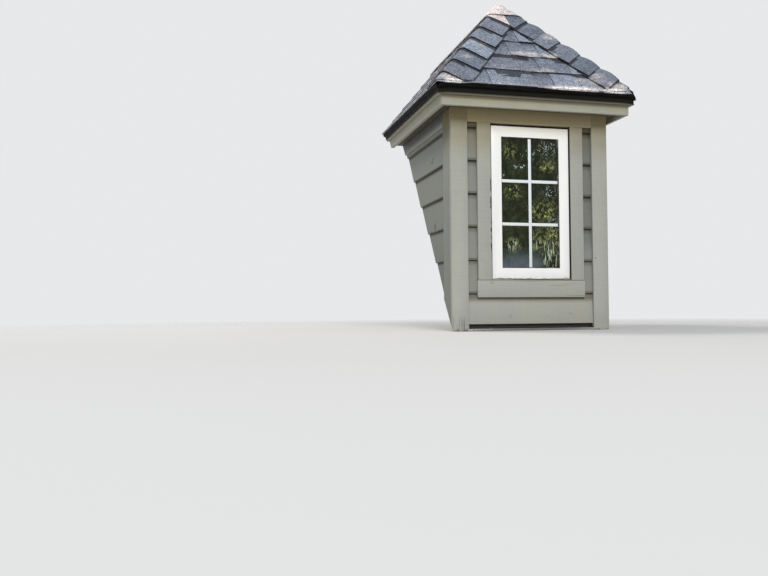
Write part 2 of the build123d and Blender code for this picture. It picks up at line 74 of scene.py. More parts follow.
# Setting-out that the part's source also uses, in metres
FOOT_Z = -0.07966
EAVE_Z = 1.17034
SOFFIT_Z = EAVE_Z - 0.085
STRIP_LOW_Z = EAVE_Z - 0.055
NOSE_X = 0.557
NOSE_Y = -0.2075
NOSE_REACH = 0.013
SHEATH_FACE_X = 0.420
SHEATH_FACE_Y = -0.0565
TRIM_FACE_Y = -0.0815
FIRST_LAP_Z = FOOT_Z + 0.196
LAP_EXPOSURE = 0.174
MAIN_SLOPE = 14.5 / 12.0
ROOFING_LIFT = 0.012 * math.hypot(1.0, MAIN_SLOPE)
PITCH = 14.0 / 12.0
ROOF_COS = 1.0 / math.hypot(1.0, PITCH)
ROOF_SIN = PITCH * ROOF_COS
APEX_Y = NOSE_Y + NOSE_X
APEX_Z = EAVE_Z + NOSE_X * PITCH
SHINGLE_EXPOSURE = 0.143
SHINGLE_OVERHANG = 0.003
OPENING_X = 0.225
HEAD_LOW_Z = 1.01134
APRON_TOP_Z = 0.18634
APRON_LOW_Z = 0.09534
WINDOW_FACE_Y = -0.0735
WINDOW_LOW_Z = 0.19334
WINDOW_HEIGHT = 0.805
WINDOW_SIDE_GAP = 0.005

# How meshes are merged and shaded
MERGE_GAP = 1e-5
FLAT_ANGLE = math.radians(0.5)
SHARP_ANGLE = math.radians(20.0)
SMOOTH_ANGLE = math.radians(35.0)


class Slope(Enum):
    """The three roof slopes, each with the sign of X on its side."""

    FRONT = 0.0
    LEFT = -1.0
    RIGHT = 1.0


class Grain(Enum):
    """Direction that the grain of a board runs in."""

    ACROSS = (1.0, 0.0, 0.0)
    BACK = (0.0, 1.0, 0.0)
    UP = (0.0, 0.0, 1.0)
    MAIN_SLOPE = (0.0, 0.6376, 0.7704)
    FRONT_SLOPE = (0.0, 0.6508, 0.7593)
    SIDE_SLOPE = (-0.6508, 0.0, 0.7593)
    HIP = (-0.5455, 0.5455, 0.6364)


# Shared mesh work


def slope_point(slope: Slope, along: float, up: float, above: float) -> Vector:
    """Point on a roof slope.

    Args:
        slope: The slope that the point belongs to.
        along: Place along the eave, X on the front slope and Y on a side slope.
        up: Distance up the slope from the nose of the drip edge.
        above: Distance square above the deck.

    Returns:
        The point in the row frame.
    """
    run = up * ROOF_COS - above * ROOF_SIN
    z = EAVE_Z + up * ROOF_SIN + above * ROOF_COS
    if slope is Slope.FRONT:
        return Vector((along, NOSE_Y + run, z))
    return Vector((slope.value * (NOSE_X - run), along, z))


def baked(bm: BMesh, name: str) -> Mesh:
    """Mesh with the shape of a bmesh, which is freed."""
    mesh = bpy.data.meshes.new(name)
    bm.to_mesh(mesh)
    bm.free()
    return mesh


def unit_slab(cuts_along: int, cuts_up: int) -> Mesh:
    """Cube from 0 to 1 that is cut into columns and rows, to be copied and bent.

    Args:
        cuts_along: Cuts across the first axis.
        cuts_up: Cuts across the second axis.

    Returns:
        The mesh, which isn't shown itself.
    """
    bm = bmesh.new()
    bmesh.ops.create_cube(bm, size=1.0, matrix=Matrix.Translation((0.5, 0.5, 0.5)))
    for axis, cuts in enumerate((cuts_along, cuts_up)):
        edges = [e for e in bm.edges if abs((e.verts[0].co - e.verts[1].co)[axis]) > 0.5]
        bmesh.ops.subdivide_edges(bm, edges=edges, cuts=cuts, use_grid_fill=True)
    return baked(bm, "unit_slab")


def paste(bm: BMesh, mesh: Mesh, place: Callable[[Vector], Vector]) -> list[BMFace]:
    """Copy a mesh into a bmesh, with every vertex moved by a function.

    Args:
        bm: The bmesh to add to.
        mesh: The mesh to copy.
        place: Gives each copied vertex its new place.

    Returns:
        The new faces.
    """
    verts_before = len(bm.verts)
    faces_before = len(bm.faces)
    bm.from_mesh(mesh)
    bm.verts.ensure_lookup_table()
    bm.faces.ensure_lookup_table()
    for vert in bm.verts[verts_before:]:
        vert.co = place(vert.co)
    return list(bm.faces[faces_before:])


def absorb(bm: BMesh, other: BMesh, material_index: int = 0) -> None:
    """Move another bmesh into this one, all of it with one material.

    Args:
        bm: The bmesh to add to.
        other: The bmesh that is added and freed.
        material_index: Place of its material in the piece's list.
    """
    for face in other.faces:
        face.material_index = material_index
    mesh = baked(other, "absorbed")
    bm.from_mesh(mesh)
    bpy.data.meshes.remove(mesh)


def add_box(bm: BMesh, centre: Triple, size: Triple) -> None:
    """Add a box with a given centre and size to a bmesh."""
    matrix = Matrix.Translation(centre) @ Matrix.Diagonal((*size, 1.0))
    bmesh.ops.create_cube(bm, size=1.0, matrix=matrix)


def grown_row(bm: BMesh, edges: Sequence[BMEdge]) -> tuple[list[BMVert], list[BMEdge]]:
    """Extrude a row of edges.

    Args:
        bm: The bmesh that they belong to.
        edges: The row.

    Returns:
        The vertices and the edges of the new row.
    """
    grown = bmesh.ops.extrude_edge_only(bm, edges=edges)["geom"]
    verts = [item for item in grown if isinstance(item, BMVert)]
    row = set(verts)
    return verts, [item for item in grown if isinstance(item, BMEdge) and row.issuperset(item.verts)]


def cut(bm: BMesh, point: Triple, outward: Triple) -> None:
    """Cut away what lies outside a plane and close the solids along the cut.

    Args:
        bm: The bmesh to cut.
        point: A point on the plane.
        outward: Direction square to the plane, towards the side that is cut away.
    """
    bmesh.ops.bisect_plane(
        bm,
        geom=[*bm.verts, *bm.edges, *bm.faces],
        dist=1e-6,
        plane_co=point,
        plane_no=Vector(outward).normalized(),
        clear_outer=True,
    )
    rim = [e for e in bm.edges if e.is_boundary]
    if rim:
        bmesh.ops.holes_fill(bm, edges=rim, sides=0)


def cut_to_main_roof(bm: BMesh) -> None:
    """Cut a bmesh off where the roofing of the main roof comes."""
    cut(bm, (0.0, 0.0, ROOFING_LIFT), (0.0, MAIN_SLOPE, -1.0))


def ease_edges(bm: BMesh, radius: float, segments: int = 2) -> None:
    """Round the sharp edges of closed solids.

    Args:
        bm: The bmesh to work on.
        radius: Width of the rounding.
        segments: Faces across it.
    """
    sharp = [e for e in bm.edges if len(e.link_faces) == 2 and e.calc_face_angle(0.0) > SHARP_ANGLE]
    bmesh.ops.bevel(
        bm,
        geom=sharp,
        offset=radius,
        offset_type="OFFSET",
        segments=segments,
        profile=0.5,
        affect="EDGES",
        material=-1,
        clamp_overlap=True,
    )


def node_copy(node: str) -> BMesh:
    """Copy of a CAD node's mesh, merged and with its flat faces made whole.

    Args:
        node: The node's name.

    Returns:
        The new bmesh.
    """
    bm = bmesh.new()
    bm.from_mesh(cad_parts[node].data)
    bmesh.ops.remove_doubles(bm, verts=bm.verts, dist=MERGE_GAP)
    bmesh.ops.dissolve_limit(bm, angle_limit=FLAT_ANGLE, verts=bm.verts, edges=bm.edges)
    for layer in list(bm.loops.layers.uv.values()):
        bm.loops.layers.uv.remove(layer)
    return bm


def put_in_scene(name: str, data: bpy.types.ID) -> Object:
    """New object in the scene for a mesh, a lamp or a camera."""
    thing = bpy.data.objects.new(name, data)
    bpy.context.scene.collection.objects.link(thing)
    return thing


def finish_piece(name: str, bm: BMesh, materials: Sequence[Material], node: str, slot: str) -> None:
    """Turn a bmesh into a piece of the scene that stands for its CAD node.

    Args:
        name: The piece's name.
        bm: Its shape, in the row frame. It is freed.
        materials: The materials that its faces refer to.
        node: The CAD node that it replaces.
        slot: Name of the material slot for the piece's finish. It is not used.
    """
    mesh = baked(bm, name)
    mesh.shade_smooth()
    mesh.set_sharp_from_angle(angle=SMOOTH_ANGLE)
    for material in materials:
        mesh.materials.append(material)
    piece = put_in_scene(name, mesh)
    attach(piece, ROOT)
    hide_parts(node)
    log.info("%s: %d faces", name, len(mesh.polygons))


# Materials


class Wiring:
    """Short way to write a node tree."""

    def __init__(self, tree: NodeTree) -> None:
        """Start on a tree."""
        self.tree = tree

    def feed(self, socket: Socket, value: object) -> None:
        """Link a socket to another, or set its own value."""
        if isinstance(value, Socket):
            self.tree.links.new(value, socket)
        elif isinstance(value, tuple) and len(value) == 3 and socket.type == "RGBA":
            socket.default_value = (*value, 1.0)
        else:
            socket.default_value = value

    def node(self, kind: str, inputs: dict[str | int, object], **settings: str) -> Node:
        """Add a node.

        Args:
            kind: Its type.
            inputs: What each of its inputs is linked or set to.
            settings: What each of its own properties is set to.

        Returns:
            The node.
        """
        node = self.tree.nodes.new(kind)
        for name, setting in settings.items():
            setattr(node, name, setting)
        for key, value in inputs.items():
            self.feed(node.inputs[key], value)
        return node

    def math(self, operation: str, first: object, second: object = 0.0) -> Socket:
        """Result of a Math node."""
        return self.node("ShaderNodeMath", {0: first, 1: second}, operation=operation).outputs[0]


class Graph(Wiring):
    """Short way to write the node tree of one material."""

    def __init__(self, name: str) -> None:
        """Start a material with an empty Principled shader."""
        self.material = bpy.data.materials.new(name)
        self.material.use_nodes = True
        super().__init__(self.material.node_tree)
        self.shader = self.tree.nodes["Principled BSDF"]
        self.place = self.node("ShaderNodeTexCoord", {}).outputs["Object"]
        self.x, self.y, self.z = self.split(self.place)

    def split(self, vector: Socket) -> tuple[Socket, ...]:
        """X, Y and Z of a vector, or red, green and blue of a colour."""
        return tuple(self.node("ShaderNodeSeparateXYZ", {0: vector}).outputs)

    def join(self, x: object, y: object, z: object) -> Socket:
        """Vector from three numbers or sockets."""
        return self.node("ShaderNodeCombineXYZ", {0: x, 1: y, 2: z}).outputs[0]

    def mapped(
        self, scale: float | Triple, turn: Triple | None = None, source: Socket | None = None
    ) -> Socket:
        """Place on the object, turned and then scaled.

        Args:
            scale: Scale along every axis, or along each.
            turn: Rotation about X, Y and Z in radians, if there is one.
            source: The vector to change, by default the place on the object.

        Returns:
            The changed vector.
        """
        vector = source or self.place
        if turn:
            vector = self.node("ShaderNodeMapping", {"Vector": vector, "Rotation": turn}).outputs[0]
        scales = (scale, scale, scale) if isinstance(scale, float) else scale
        return self.node("ShaderNodeMapping", {"Vector": vector, "Scale": scales}).outputs[0]

    def noise(
        self,
        scale: float | Triple,
        detail: float = 2.0,
        roughness: float = 0.5,
        distortion: float = 0.0,
        source: Socket | None = None,
    ) -> Socket:
        """Soft noise.

        Args:
            scale: Waves to a metre along every axis, or along each.
            detail: How many finer waves are laid over it.
            roughness: How strong these are.
            distortion: How far the pattern is swirled.
            source: What it is laid on, by default the place on the object.

        Returns:
            The noise, about 0.5 on the average.
        """
        vector = self.mapped(scale, source=source)
        waves = {"Scale": 1.0, "Detail": detail, "Roughness": roughness, "Distortion": distortion}
        return self.node("ShaderNodeTexNoise", {"Vector": vector, **waves}).outputs["Fac"]

    def cells(self, vector: Socket) -> Node:
        """Cell pattern, one cell to each unit of the vector."""
        return self.node("ShaderNodeTexVoronoi", {"Vector": vector, "Scale": 1.0})

    def cell_tones(self, scale: float | Triple, turn: Triple | None = None) -> tuple[Socket, ...]:
        """Three random numbers from 0 to 1 for each cell."""
        return self.split(self.cells(self.mapped(scale, turn)).outputs["Color"])

    def spot(self, centre: Sequence[float], reach: Triple, core: float = 0.35) -> Socket:
        """Mask that is 1 in the core of an ellipsoid and fades out at its edge.

        Args:
            centre: Its centre on the object.
            reach: Its half length along each axis.
            core: Share of the reach that is full.

        Returns:
            The mask.
        """
        vector = self.place
        for operation, amount in (("SUBTRACT", centre), ("DIVIDE", reach)):
            vector = self.node("ShaderNodeVectorMath", {0: vector, 1: amount}, operation=operation).outputs[0]
        length = self.node("ShaderNodeVectorMath", {0: vector}, operation="LENGTH")
        return self.fade(length.outputs["Value"], core, 1.0)

    def most(self, masks: Sequence[Socket]) -> Socket:
        """The largest of some masks at each point."""
        largest = masks[0]
        for mask in masks[1:]:
            largest = self.math("MAXIMUM", largest, mask)
        return largest

    def times(self, first: object, *others: object) -> Socket:
        """Product of numbers or sockets."""
        for other in others:
            first = self.math("MULTIPLY", first, other)
        return first

    def plus(self, first: object, second: object) -> Socket:
        """Sum of two numbers or sockets."""
        return self.math("ADD", first, second)

    def radius(self, first: Socket, second: Socket) -> Socket:
        """Distance from the axis that two coordinates are measured from."""
        squares = [self.math("POWER", side, 2.0) for side in (first, second)]
        return self.math("SQRT", self.plus(*squares))

    def span(
        self, value: Socket, low: float, high: float, to_low: float = 0.0, to_high: float = 1.0
    ) -> Socket:
        """Smooth step of a value from one range to another, held at both ends."""
        ends = {"From Min": low, "From Max": high, "To Min": to_low, "To Max": to_high}
        step = self.node("ShaderNodeMapRange", {"Value": value, **ends}, interpolation_type="SMOOTHSTEP")
        return step.outputs["Result"]

    def fade(self, value: Socket, full: float, gone: float) -> Socket:
        """Mask that is 1 up to one value and has faded out at a higher one."""
        return self.span(value, full, gone, 1.0, 0.0)

    def mix(self, amount: object, first: object, second: object, blend: str = "MIX") -> Socket:
        """Mix of two colours, which the Mix node takes as its inputs 6 and 7."""
        inputs = {0: amount, 6: first, 7: second}
        return self.node("ShaderNodeMix", inputs, data_type="RGBA", blend_type=blend).outputs[2]

    def tinted(self, colour: object, tint: object) -> Socket:
        """Multiply a colour by a tint."""
        return self.mix(1.0, colour, tint, "MULTIPLY")

    def darken(self, colour: object, amount: Socket) -> Socket:
        """Multiply a colour by an amount."""
        return self.tinted(colour, self.join(amount, amount, amount))

    def shade(self, colour: object, mask: object, tint: object) -> Socket:
        """Multiply a colour by a tint where the mask is 1."""
        return self.mix(mask, colour, self.tinted(colour, tint))

    def ramp(self, value: Socket, stops: Sequence[tuple[float, Colour]]) -> Socket:
        """Colour from a value through the stops of a ramp.

        Args:
            value: Place on the ramp.
            stops: Places and colours of its stops.

        Returns:
            The colour.
        """
        node = self.node("ShaderNodeValToRGB", {0: value})
        elements = node.color_ramp.elements
        while len(elements) < len(stops):
            elements.new(0.5)
        for element, (position, colour) in zip(elements, stops):
            element.position = position
            element.color = (*colour, 1.0)
        return node.outputs[0]

    def bump(self, height: Socket, distance: float, strength: float) -> None:
        """Raise the surface by a height from 0 to 1.

        Args:
            height: The height pattern.
            distance: What a height of 1 measures, in metres.
            strength: How much of it shows.
        """
        inputs = {"Distance": distance, "Strength": strength, "Height": height}
        self.feed(self.shader.inputs["Normal"], self.node("ShaderNodeBump", inputs).outputs[0])

    def surface(
        self, colour: object, roughness: object, metallic: float = 0.0, specular: float = 0.5
    ) -> None:
        """Set the shader's colour, roughness, metal and specular level."""
        self.feed(self.shader.inputs["Base Color"], colour)
        self.feed(self.shader.inputs["Roughness"], roughness)
        self.shader.inputs["Metallic"].default_value = metallic
        self.shader.inputs["Specular IOR Level"].default_value = specular


def along_grain(grain: Grain, along: float, across: float) -> Triple:
    """Scale that stretches a pattern along one of the three main axes."""
    return tuple(along if part > 0.9 else across for part in grain.value)


@dataclass(frozen=True)
class Mark:
    """A small mark on a painted board: its centre, its half lengths, its colour and its strength."""

    centre: Triple
    reach: Triple
    colour: Colour = (0.055, 0.050, 0.040)
    strength: float = 0.95


@dataclass(frozen=True)
class HeightShade:
    """Shading of paint from one height to another, by what it multiplies the colour by at each."""

    low_z: float
    high_z: float
    at_low: float
    at_high: float


@dataclass(frozen=True)
class SawnPaint:
    """Flat exterior paint on rough-sawn boards, aged where water stands, with painted shade in places.

    Fields:
        grain: Direction of the grain.
        colour: Colour of the sound paint.
        laps: Shares of a lap's height where the painted shade and dirt along its lower edge end and where the
        soft and the deep painted shade under the lap above begin, if there are laps.
        foot_wear: Whether the lowest end is cracked, rotten and damp.
        stain_and_shade: Heights where brown staining with painted eave shade is full, half faded and gone, if
            there is one.
        stain_and_shade_colour: What the full staining and painted shade multiply the paint by.
        stain_and_shade_fade: What the half faded staining and painted shade multiply it by.
        checks: Whether fine cracks run along the grain.
        kerf: How dark the saw's lines across the grain are, from 1 for none.
        shades: What the paint is darkened by at some heights.
        right_shade: What the paint high on the right is multiplied by.
        under: Height of an edge above, under which dirt and painted shade darken the paint.
        reveal_shade_and_sealant: Whether the casing's edges beside the window have painted shade and dark old
            sealant.
        marks: Knots, cracks and nail heads.
    """

    grain: Grain
    colour: Colour = (0.373, 0.381, 0.346)
    laps: Triple | None = None
    foot_wear: bool = False
    stain_and_shade: Triple | None = None
    stain_and_shade_colour: Colour = (1.02, 0.82, 0.49)
    stain_and_shade_fade: Colour = (0.80, 0.75, 0.62)
    checks: bool = False
    kerf: float = 0.93
    shades: tuple[HeightShade, ...] = ()
    right_shade: float = 1.0
    under: float | None = None
    reveal_shade_and_sealant: bool = False
    marks: tuple[Mark, ...] = ()

    def material(self) -> Material:
        """Build the material.

        Returns:
            The material.
        """
        g = Graph(f"sawn_paint_{self.grain.name.lower()}")
        fibres = g.noise(along_grain(self.grain, 9.0, 420.0), detail=3.0, roughness=0.65)
        kerfs = g.noise(along_grain(self.grain, 230.0, 7.0), detail=3.0, roughness=0.7)
        clouds = g.noise((5.0, 5.0, 3.5), detail=4.0, roughness=0.6)
        specks = g.noise(160.0)
        warmth = g.mix(g.span(clouds, 0.3, 0.7), (0.955, 0.965, 1.0), (1.03, 1.015, 0.975))
        colour = g.tinted(self.colour, warmth)
        colour = g.darken(colour, g.span(kerfs, 0.30, 0.56, self.kerf, 1.0))
        colour = g.darken(colour, g.span(fibres, 0.28, 0.50, 0.93, 1.0))
        colour = g.darken(colour, g.span(specks, 0.24, 0.40, 0.86, 1.0))
        height = g.plus(g.times(fibres, 0.55), g.times(kerfs, 0.45))
        if self.checks:
            seams = g.noise(along_grain(self.grain, 2.2, 170.0), detail=1.0, roughness=0.4)
            sound = g.span(seams, 0.285, 0.325)
            colour = g.mix(sound, (0.16, 0.15, 0.12), colour)
            height = g.times(height, sound)
        colour = self.weathered_and_shaded(g, colour)
        for mark in self.marks:
            colour = g.mix(g.times(g.spot(mark.centre, mark.reach), mark.strength), colour, mark.colour)
        g.surface(colour, g.span(clouds, 0.2, 0.8, 0.62, 0.74), specular=0.35)
        g.bump(height, 0.0011, 0.6)
        return g.material

    def weathered_and_shaded(self, g: Graph, colour: Socket) -> Socket:
        """Paint with its dirt, stains, cracked and rotten foot, and painted shade.

        Args:
            g: The material's graph.
            colour: The sound paint.

        Returns:
            The colour with its dirt, stains and painted shade.
        """
        if self.laps:
            colour = self.lap_shaded(g, colour, *self.laps)
        for shade in self.shades:
            colour = g.darken(colour, g.span(g.z, shade.low_z, shade.high_z, shade.at_low, shade.at_high))
        if self.right_shade < 1.0:
            high = g.times(g.span(g.z, 0.30, 0.45), g.math("GREATER_THAN", g.x, 0.0))
            colour = g.darken(colour, g.span(high, 0.0, 1.0, 1.0, self.right_shade))
        if self.under is not None:
            # Dirt and painted shade under the edge above.
            colour = g.shade(colour, g.span(g.z, self.under - 0.034, self.under - 0.003), (0.50, 0.46, 0.39))
        if self.foot_wear:
            colour = self.worn_foot(g, colour)
        if self.stain_and_shade:
            colour = self.stained_and_shaded(g, colour, *self.stain_and_shade)
        if self.reveal_shade_and_sealant:
            colour = self.sealant_and_edge_shade(g, colour)
        return colour

    def lap_shaded(self, g: Graph, colour: Socket, dirt_and_shade_edge: float, soft: float, deep: float) -> Socket:
        """Laps with painted shade and dirt along their lower edge, and painted shade under the lap above,
        wider higher up.
        """
        rise = g.math("FRACT", g.math("DIVIDE", g.math("SUBTRACT", g.z, FIRST_LAP_Z), LAP_EXPOSURE))
        # Painted shade and dirt along each board's lower edge.
        colour = g.shade(colour, g.span(rise, dirt_and_shade_edge, dirt_and_shade_edge * 0.55), (0.60, 0.585, 0.53))
        # Soft, then deep painted shade under the lap above, wider higher up the wall.
        shaded = g.plus(rise, g.span(g.z, 0.25, 0.85, -0.004, 0.030))
        colour = g.shade(colour, g.span(shaded, soft, deep), (0.66, 0.63, 0.56))
        return g.darken(colour, g.span(shaded, deep, deep + 0.018, 1.0, 0.28))

    def stained_and_shaded(self, g: Graph, colour: Socket, full: float, half: float, gone: float) -> Socket:
        """Brown staining that has run down from the eave, with painted shade under the eave in it."""
        runs = g.noise((14.0, 14.0, 9.0), detail=3.0)
        shifted = g.plus(g.z, g.span(runs, 0.25, 0.75, -0.006, 0.006))
        tint = g.mix(g.span(shifted, half, full), self.stain_and_shade_fade, self.stain_and_shade_colour)
        return g.shade(colour, g.span(shifted, gone, half), tint)

    def worn_foot(self, g: Graph, colour: Socket) -> Socket:
        """Cracks and rot at the foot of a corner board."""
        splits = g.noise((240.0, 240.0, 4.0), detail=1.0, roughness=0.4)
        split = g.plus(splits, g.span(g.x, -0.30, -0.20, 0.10, -0.5))
        crack = g.times(g.fade(g.z, FOOT_Z + 0.03, FOOT_Z + 0.095), g.span(split, 0.700, 0.740))
        colour = g.mix(crack, colour, (0.035, 0.030, 0.022))
        ragged = g.noise((120.0, 120.0, 50.0), detail=4.0, roughness=0.7)
        reach = g.plus(g.z, g.span(ragged, 0.3, 0.7, -0.008, 0.012))
        rot = g.span(reach, FOOT_Z + 0.002, FOOT_Z + 0.008, 0.85, 0.0)
        colour = g.mix(rot, colour, (0.075, 0.058, 0.040))
        return g.shade(colour, g.span(g.z, FOOT_Z + 0.16, FOOT_Z), (0.95, 0.945, 0.92))

    def sealant_and_edge_shade(self, g: Graph, colour: Socket) -> Socket:
        """Painted shade on the casing's edge beside the window, and dark sealant torn into the face on the
        left.
        """
        # Painted shade on the casing's edge beside the window.
        edge = g.fade(g.math("ABSOLUTE", g.x), OPENING_X + 0.0010, OPENING_X + 0.0018)
        tears = g.noise((4.0, 4.0, 26.0), detail=4.0, roughness=0.65)
        torn = g.plus(g.plus(g.x, OPENING_X), g.span(tears, 0.36, 0.60, 0.0, 0.0078))
        band = g.times(g.span(g.z, 0.28, 0.36), g.fade(g.z, 0.68, 0.76))
        tear = g.times(g.span(torn, 0.0, 0.0015), g.math("LESS_THAN", g.x, 0.0), band)
        return g.mix(g.most([edge, tear]), colour, (0.040, 0.034, 0.026))


@dataclass(frozen=True)
class Granules:
    """Mineral granules on asphalt shingles, tinted tab by tab from the mesh, with painted shade under butts
    and pale spots of painted sunlight that are partly abraded granules.
    """

    # Pale colours of painted sunlight with abraded and faded granules.
    sunlit_and_worn: Colour = (0.50, 0.455, 0.425)
    sunlit_and_bleached: Colour = (0.74, 0.72, 0.70)
    # Pale spots of painted sunlight, partly abraded granules: x, up, half width, half height, strength.
    sunlit_and_worn_spots: tuple[tuple[float, float, float, float, float], ...] = (
        (0.040, 0.318, 0.175, 0.024, 0.85),
        (0.150, 0.312, 0.070, 0.020, 0.95),
        (0.240, 0.008, 0.290, 0.026, 0.90),
        (0.290, 0.080, 0.120, 0.050, 0.55),
        (0.065, 0.160, 0.100, 0.014, 0.70),
        (0.214, 0.500, 0.075, 0.042, 0.85),
        (0.455, 0.045, 0.085, 0.050, 0.95),
        (0.370, 0.120, 0.060, 0.045, 0.60),
        (-0.500, 0.030, 0.085, 0.040, 0.75),
        (-0.235, 0.385, 0.060, 0.040, 0.40),
        (-0.350, 0.235, 0.050, 0.035, 0.30),
    )
    deep_shadows: tuple[Oval, ...] = (
        (-0.145, 0.072, 0.120, 0.23),
        (-0.030, 0.048, 0.270, 0.21),
        (0.190, 0.038, 0.285, 0.12),
    )
    # Paler spots of painted sunlight along the eave, partly faded granules: x, up, half width, half height.
    sunlit_and_bleached_spots: tuple[Oval, ...] = (
        (0.190, 0.000, 0.180, 0.024),
        (0.420, 0.004, 0.090, 0.028),
        (-0.470, 0.004, 0.070, 0.022),
    )

    def sunlit_and_worn_mask(self, g: Graph) -> Socket:
        """Mask of the pale spots of painted sunlight, partly abraded granules, on the front slope and its
        hips' caps.
        """
        masks = []
        for x, up, half_x, half_up, strength in self.sunlit_and_worn_spots:
            reach = (half_x, half_up * 0.65 + 0.028, half_up * 0.76 + 0.012)
            masks.append(g.times(g.spot(slope_point(Slope.FRONT, x, up, 0.012), reach), strength))
        return g.most(masks)

    def deeper(self, g: Graph) -> Socket:
        """Share that is added where a tab throws a deep shadow."""
        masks = []
        for x, half_x, up, depth in self.deep_shadows:
            spot = g.spot(slope_point(Slope.FRONT, x, up, 0.006), (half_x, 0.075, 0.075), 0.93)
            masks.append(g.times(spot, depth))
        return g.most(masks)

    def sunlit_and_bleached_mask(self, g: Graph) -> Socket:
        """Mask of the paler spots of painted sunlight, partly faded granules."""
        masks = []
        for x, up, half_x, half_up in self.sunlit_and_bleached_spots:
            masks.append(g.spot(slope_point(Slope.FRONT, x, up, 0.006), (half_x, half_up, half_up), 0.45))
        return g.most(masks)

    def material(self) -> Material:
        """Build the material.

        Returns:
            The material.
        """
        g = Graph("shingle_granules")
        tint = g.node("ShaderNodeAttribute", {}, attribute_name=TINT)
        grain, warmth, _ = g.cell_tones(420.0)
        clump, _, _ = g.cell_tones(165.0)
        teeth, _, _ = g.cell_tones(8.0)
        patches = g.noise(38.0, detail=4.0, roughness=0.7)
        clouds = g.noise(6.0, detail=3.0)
        scraped = g.noise(26.0, detail=4.0, roughness=0.7)
        below = g.plus(tint.outputs["Alpha"], g.span(teeth, 0.48, 0.52, -0.03, 0.10))
        light = g.times(
            g.span(grain, 0.0, 1.0, 0.52, 1.52),
            g.span(patches, 0.25, 0.75, 0.84, 1.16),
            g.span(clouds, 0.3, 0.7, 0.92, 1.08),
            g.span(clump, 0.0, 1.0, 0.70, 1.32),
            g.span(g.plus(below, self.deeper(g)), 0.90, 0.94, 1.0, 0.24),
        )
        # Pale spots of painted sunlight with abraded and faded granules.
        sunlit_and_worn = g.times(self.sunlit_and_worn_mask(g), g.span(scraped, 0.34, 0.62, 0.15, 1.0))
        colour = g.mix(sunlit_and_worn, tint.outputs["Color"], self.sunlit_and_worn)
        sunlit_and_bleached = g.times(self.sunlit_and_bleached_mask(g), g.span(scraped, 0.30, 0.50, 0.35, 1.0))
        colour = g.darken(g.mix(sunlit_and_bleached, colour, self.sunlit_and_bleached), light)
        tone = g.mix(g.span(warmth, 0.45, 0.9), (0.94, 1.0, 1.08), (1.16, 1.0, 0.94))
        g.surface(g.tinted(colour, tone), 0.88, specular=0.25)
        pits = g.cells(g.mapped(420.0)).outputs["Distance"]
        g.bump(g.plus(g.times(pits, 0.8), g.times(patches, 0.5)), 0.0012, 0.8)
        return g.material


@dataclass(frozen=True)
class BakedEnamel:
    """Black baked enamel on folded sheet, with road dust in patches and along its leg."""

    colour: Colour = (0.0040, 0.0040, 0.0038)
    dust: Colour = (0.034, 0.030, 0.020)
    leg_z: float = EAVE_Z - 0.024
    bend_z: float = EAVE_Z - 0.019

    def material(self) -> Material:
        """Build the material.

        Returns:
            The material.
        """
        g = Graph("baked_enamel")
        patches = g.noise((22.0, 22.0, 60.0), detail=4.0, roughness=0.65)
        scuffs = g.noise((240.0, 240.0, 30.0))
        film = g.times(g.span(patches, 0.46, 0.76, 0.0, 0.35), g.span(scuffs, 0.3, 0.7, 0.5, 1.0))
        leg = g.times(g.span(g.z, self.leg_z, self.bend_z, 0.22, 0.0), g.span(patches, 0.2, 0.6, 0.6, 1.0))
        colour = g.mix(g.most([film, leg]), self.colour, self.dust)
        g.surface(colour, g.span(patches, 0.3, 0.7, 0.46, 0.60), specular=0.04)
        g.bump(patches, 0.0012, 0.35)
        return g.material


@dataclass(frozen=True)
class WindowWhite:
    """White extruded frame, satin, with grime along its foot and rust at the foot's right end."""

    colour: Colour = (0.840, 0.842, 0.836)
    cloudy: Colour = (0.81, 0.816, 0.812)
    creamier_top: Colour = (0.82, 0.795, 0.72)
    dirt: Colour = (0.11, 0.09, 0.07)
    grime: Colour = (0.40, 0.37, 0.31)
    rust: Colour = (0.50, 0.31, 0.24)

    def material(self) -> Material:
        """Build the material.

        Returns:
            The material.
        """
        g = Graph("window_white")
        low_z = WINDOW_LOW_Z
        head_z = WINDOW_LOW_Z + WINDOW_HEIGHT
        clouds = g.noise((7.0, 7.0, 5.0), detail=3.0)
        fine = g.noise((90.0, 90.0, 24.0), detail=3.0, roughness=0.65)
        runs = g.noise((30.0, 30.0, 10.0), detail=4.0)
        colour = g.mix(g.span(clouds, 0.3, 0.7), self.colour, self.cloudy)
        # Creamier towards the top.
        colour = g.mix(g.span(g.z, head_z - 0.10, head_z - 0.01), colour, self.creamier_top)
        dirt_and_shade_edge = g.plus(g.z, g.span(runs, 0.3, 0.7, -0.0022, 0.0022))
        colour = g.mix(g.span(dirt_and_shade_edge, low_z + 0.0004, low_z + 0.0030, 0.85, 0.0), colour, self.dirt)
        grimy = g.times(g.fade(g.z, low_z, low_z + 0.022), g.span(fine, 0.48, 0.72, 0.0, 0.35))
        colour = g.mix(grimy, colour, self.grime)
        right_foot = g.times(g.span(g.x, 0.12, 0.2), g.fade(g.z, low_z + 0.002, low_z + 0.009))
        colour = g.mix(g.times(right_foot, g.span(fine, 0.36, 0.6)), colour, self.rust)
        g.surface(colour, g.span(clouds, 0.2, 0.8, 0.32, 0.42))
        g.bump(fine, 0.0002, 0.4)
        return g.material


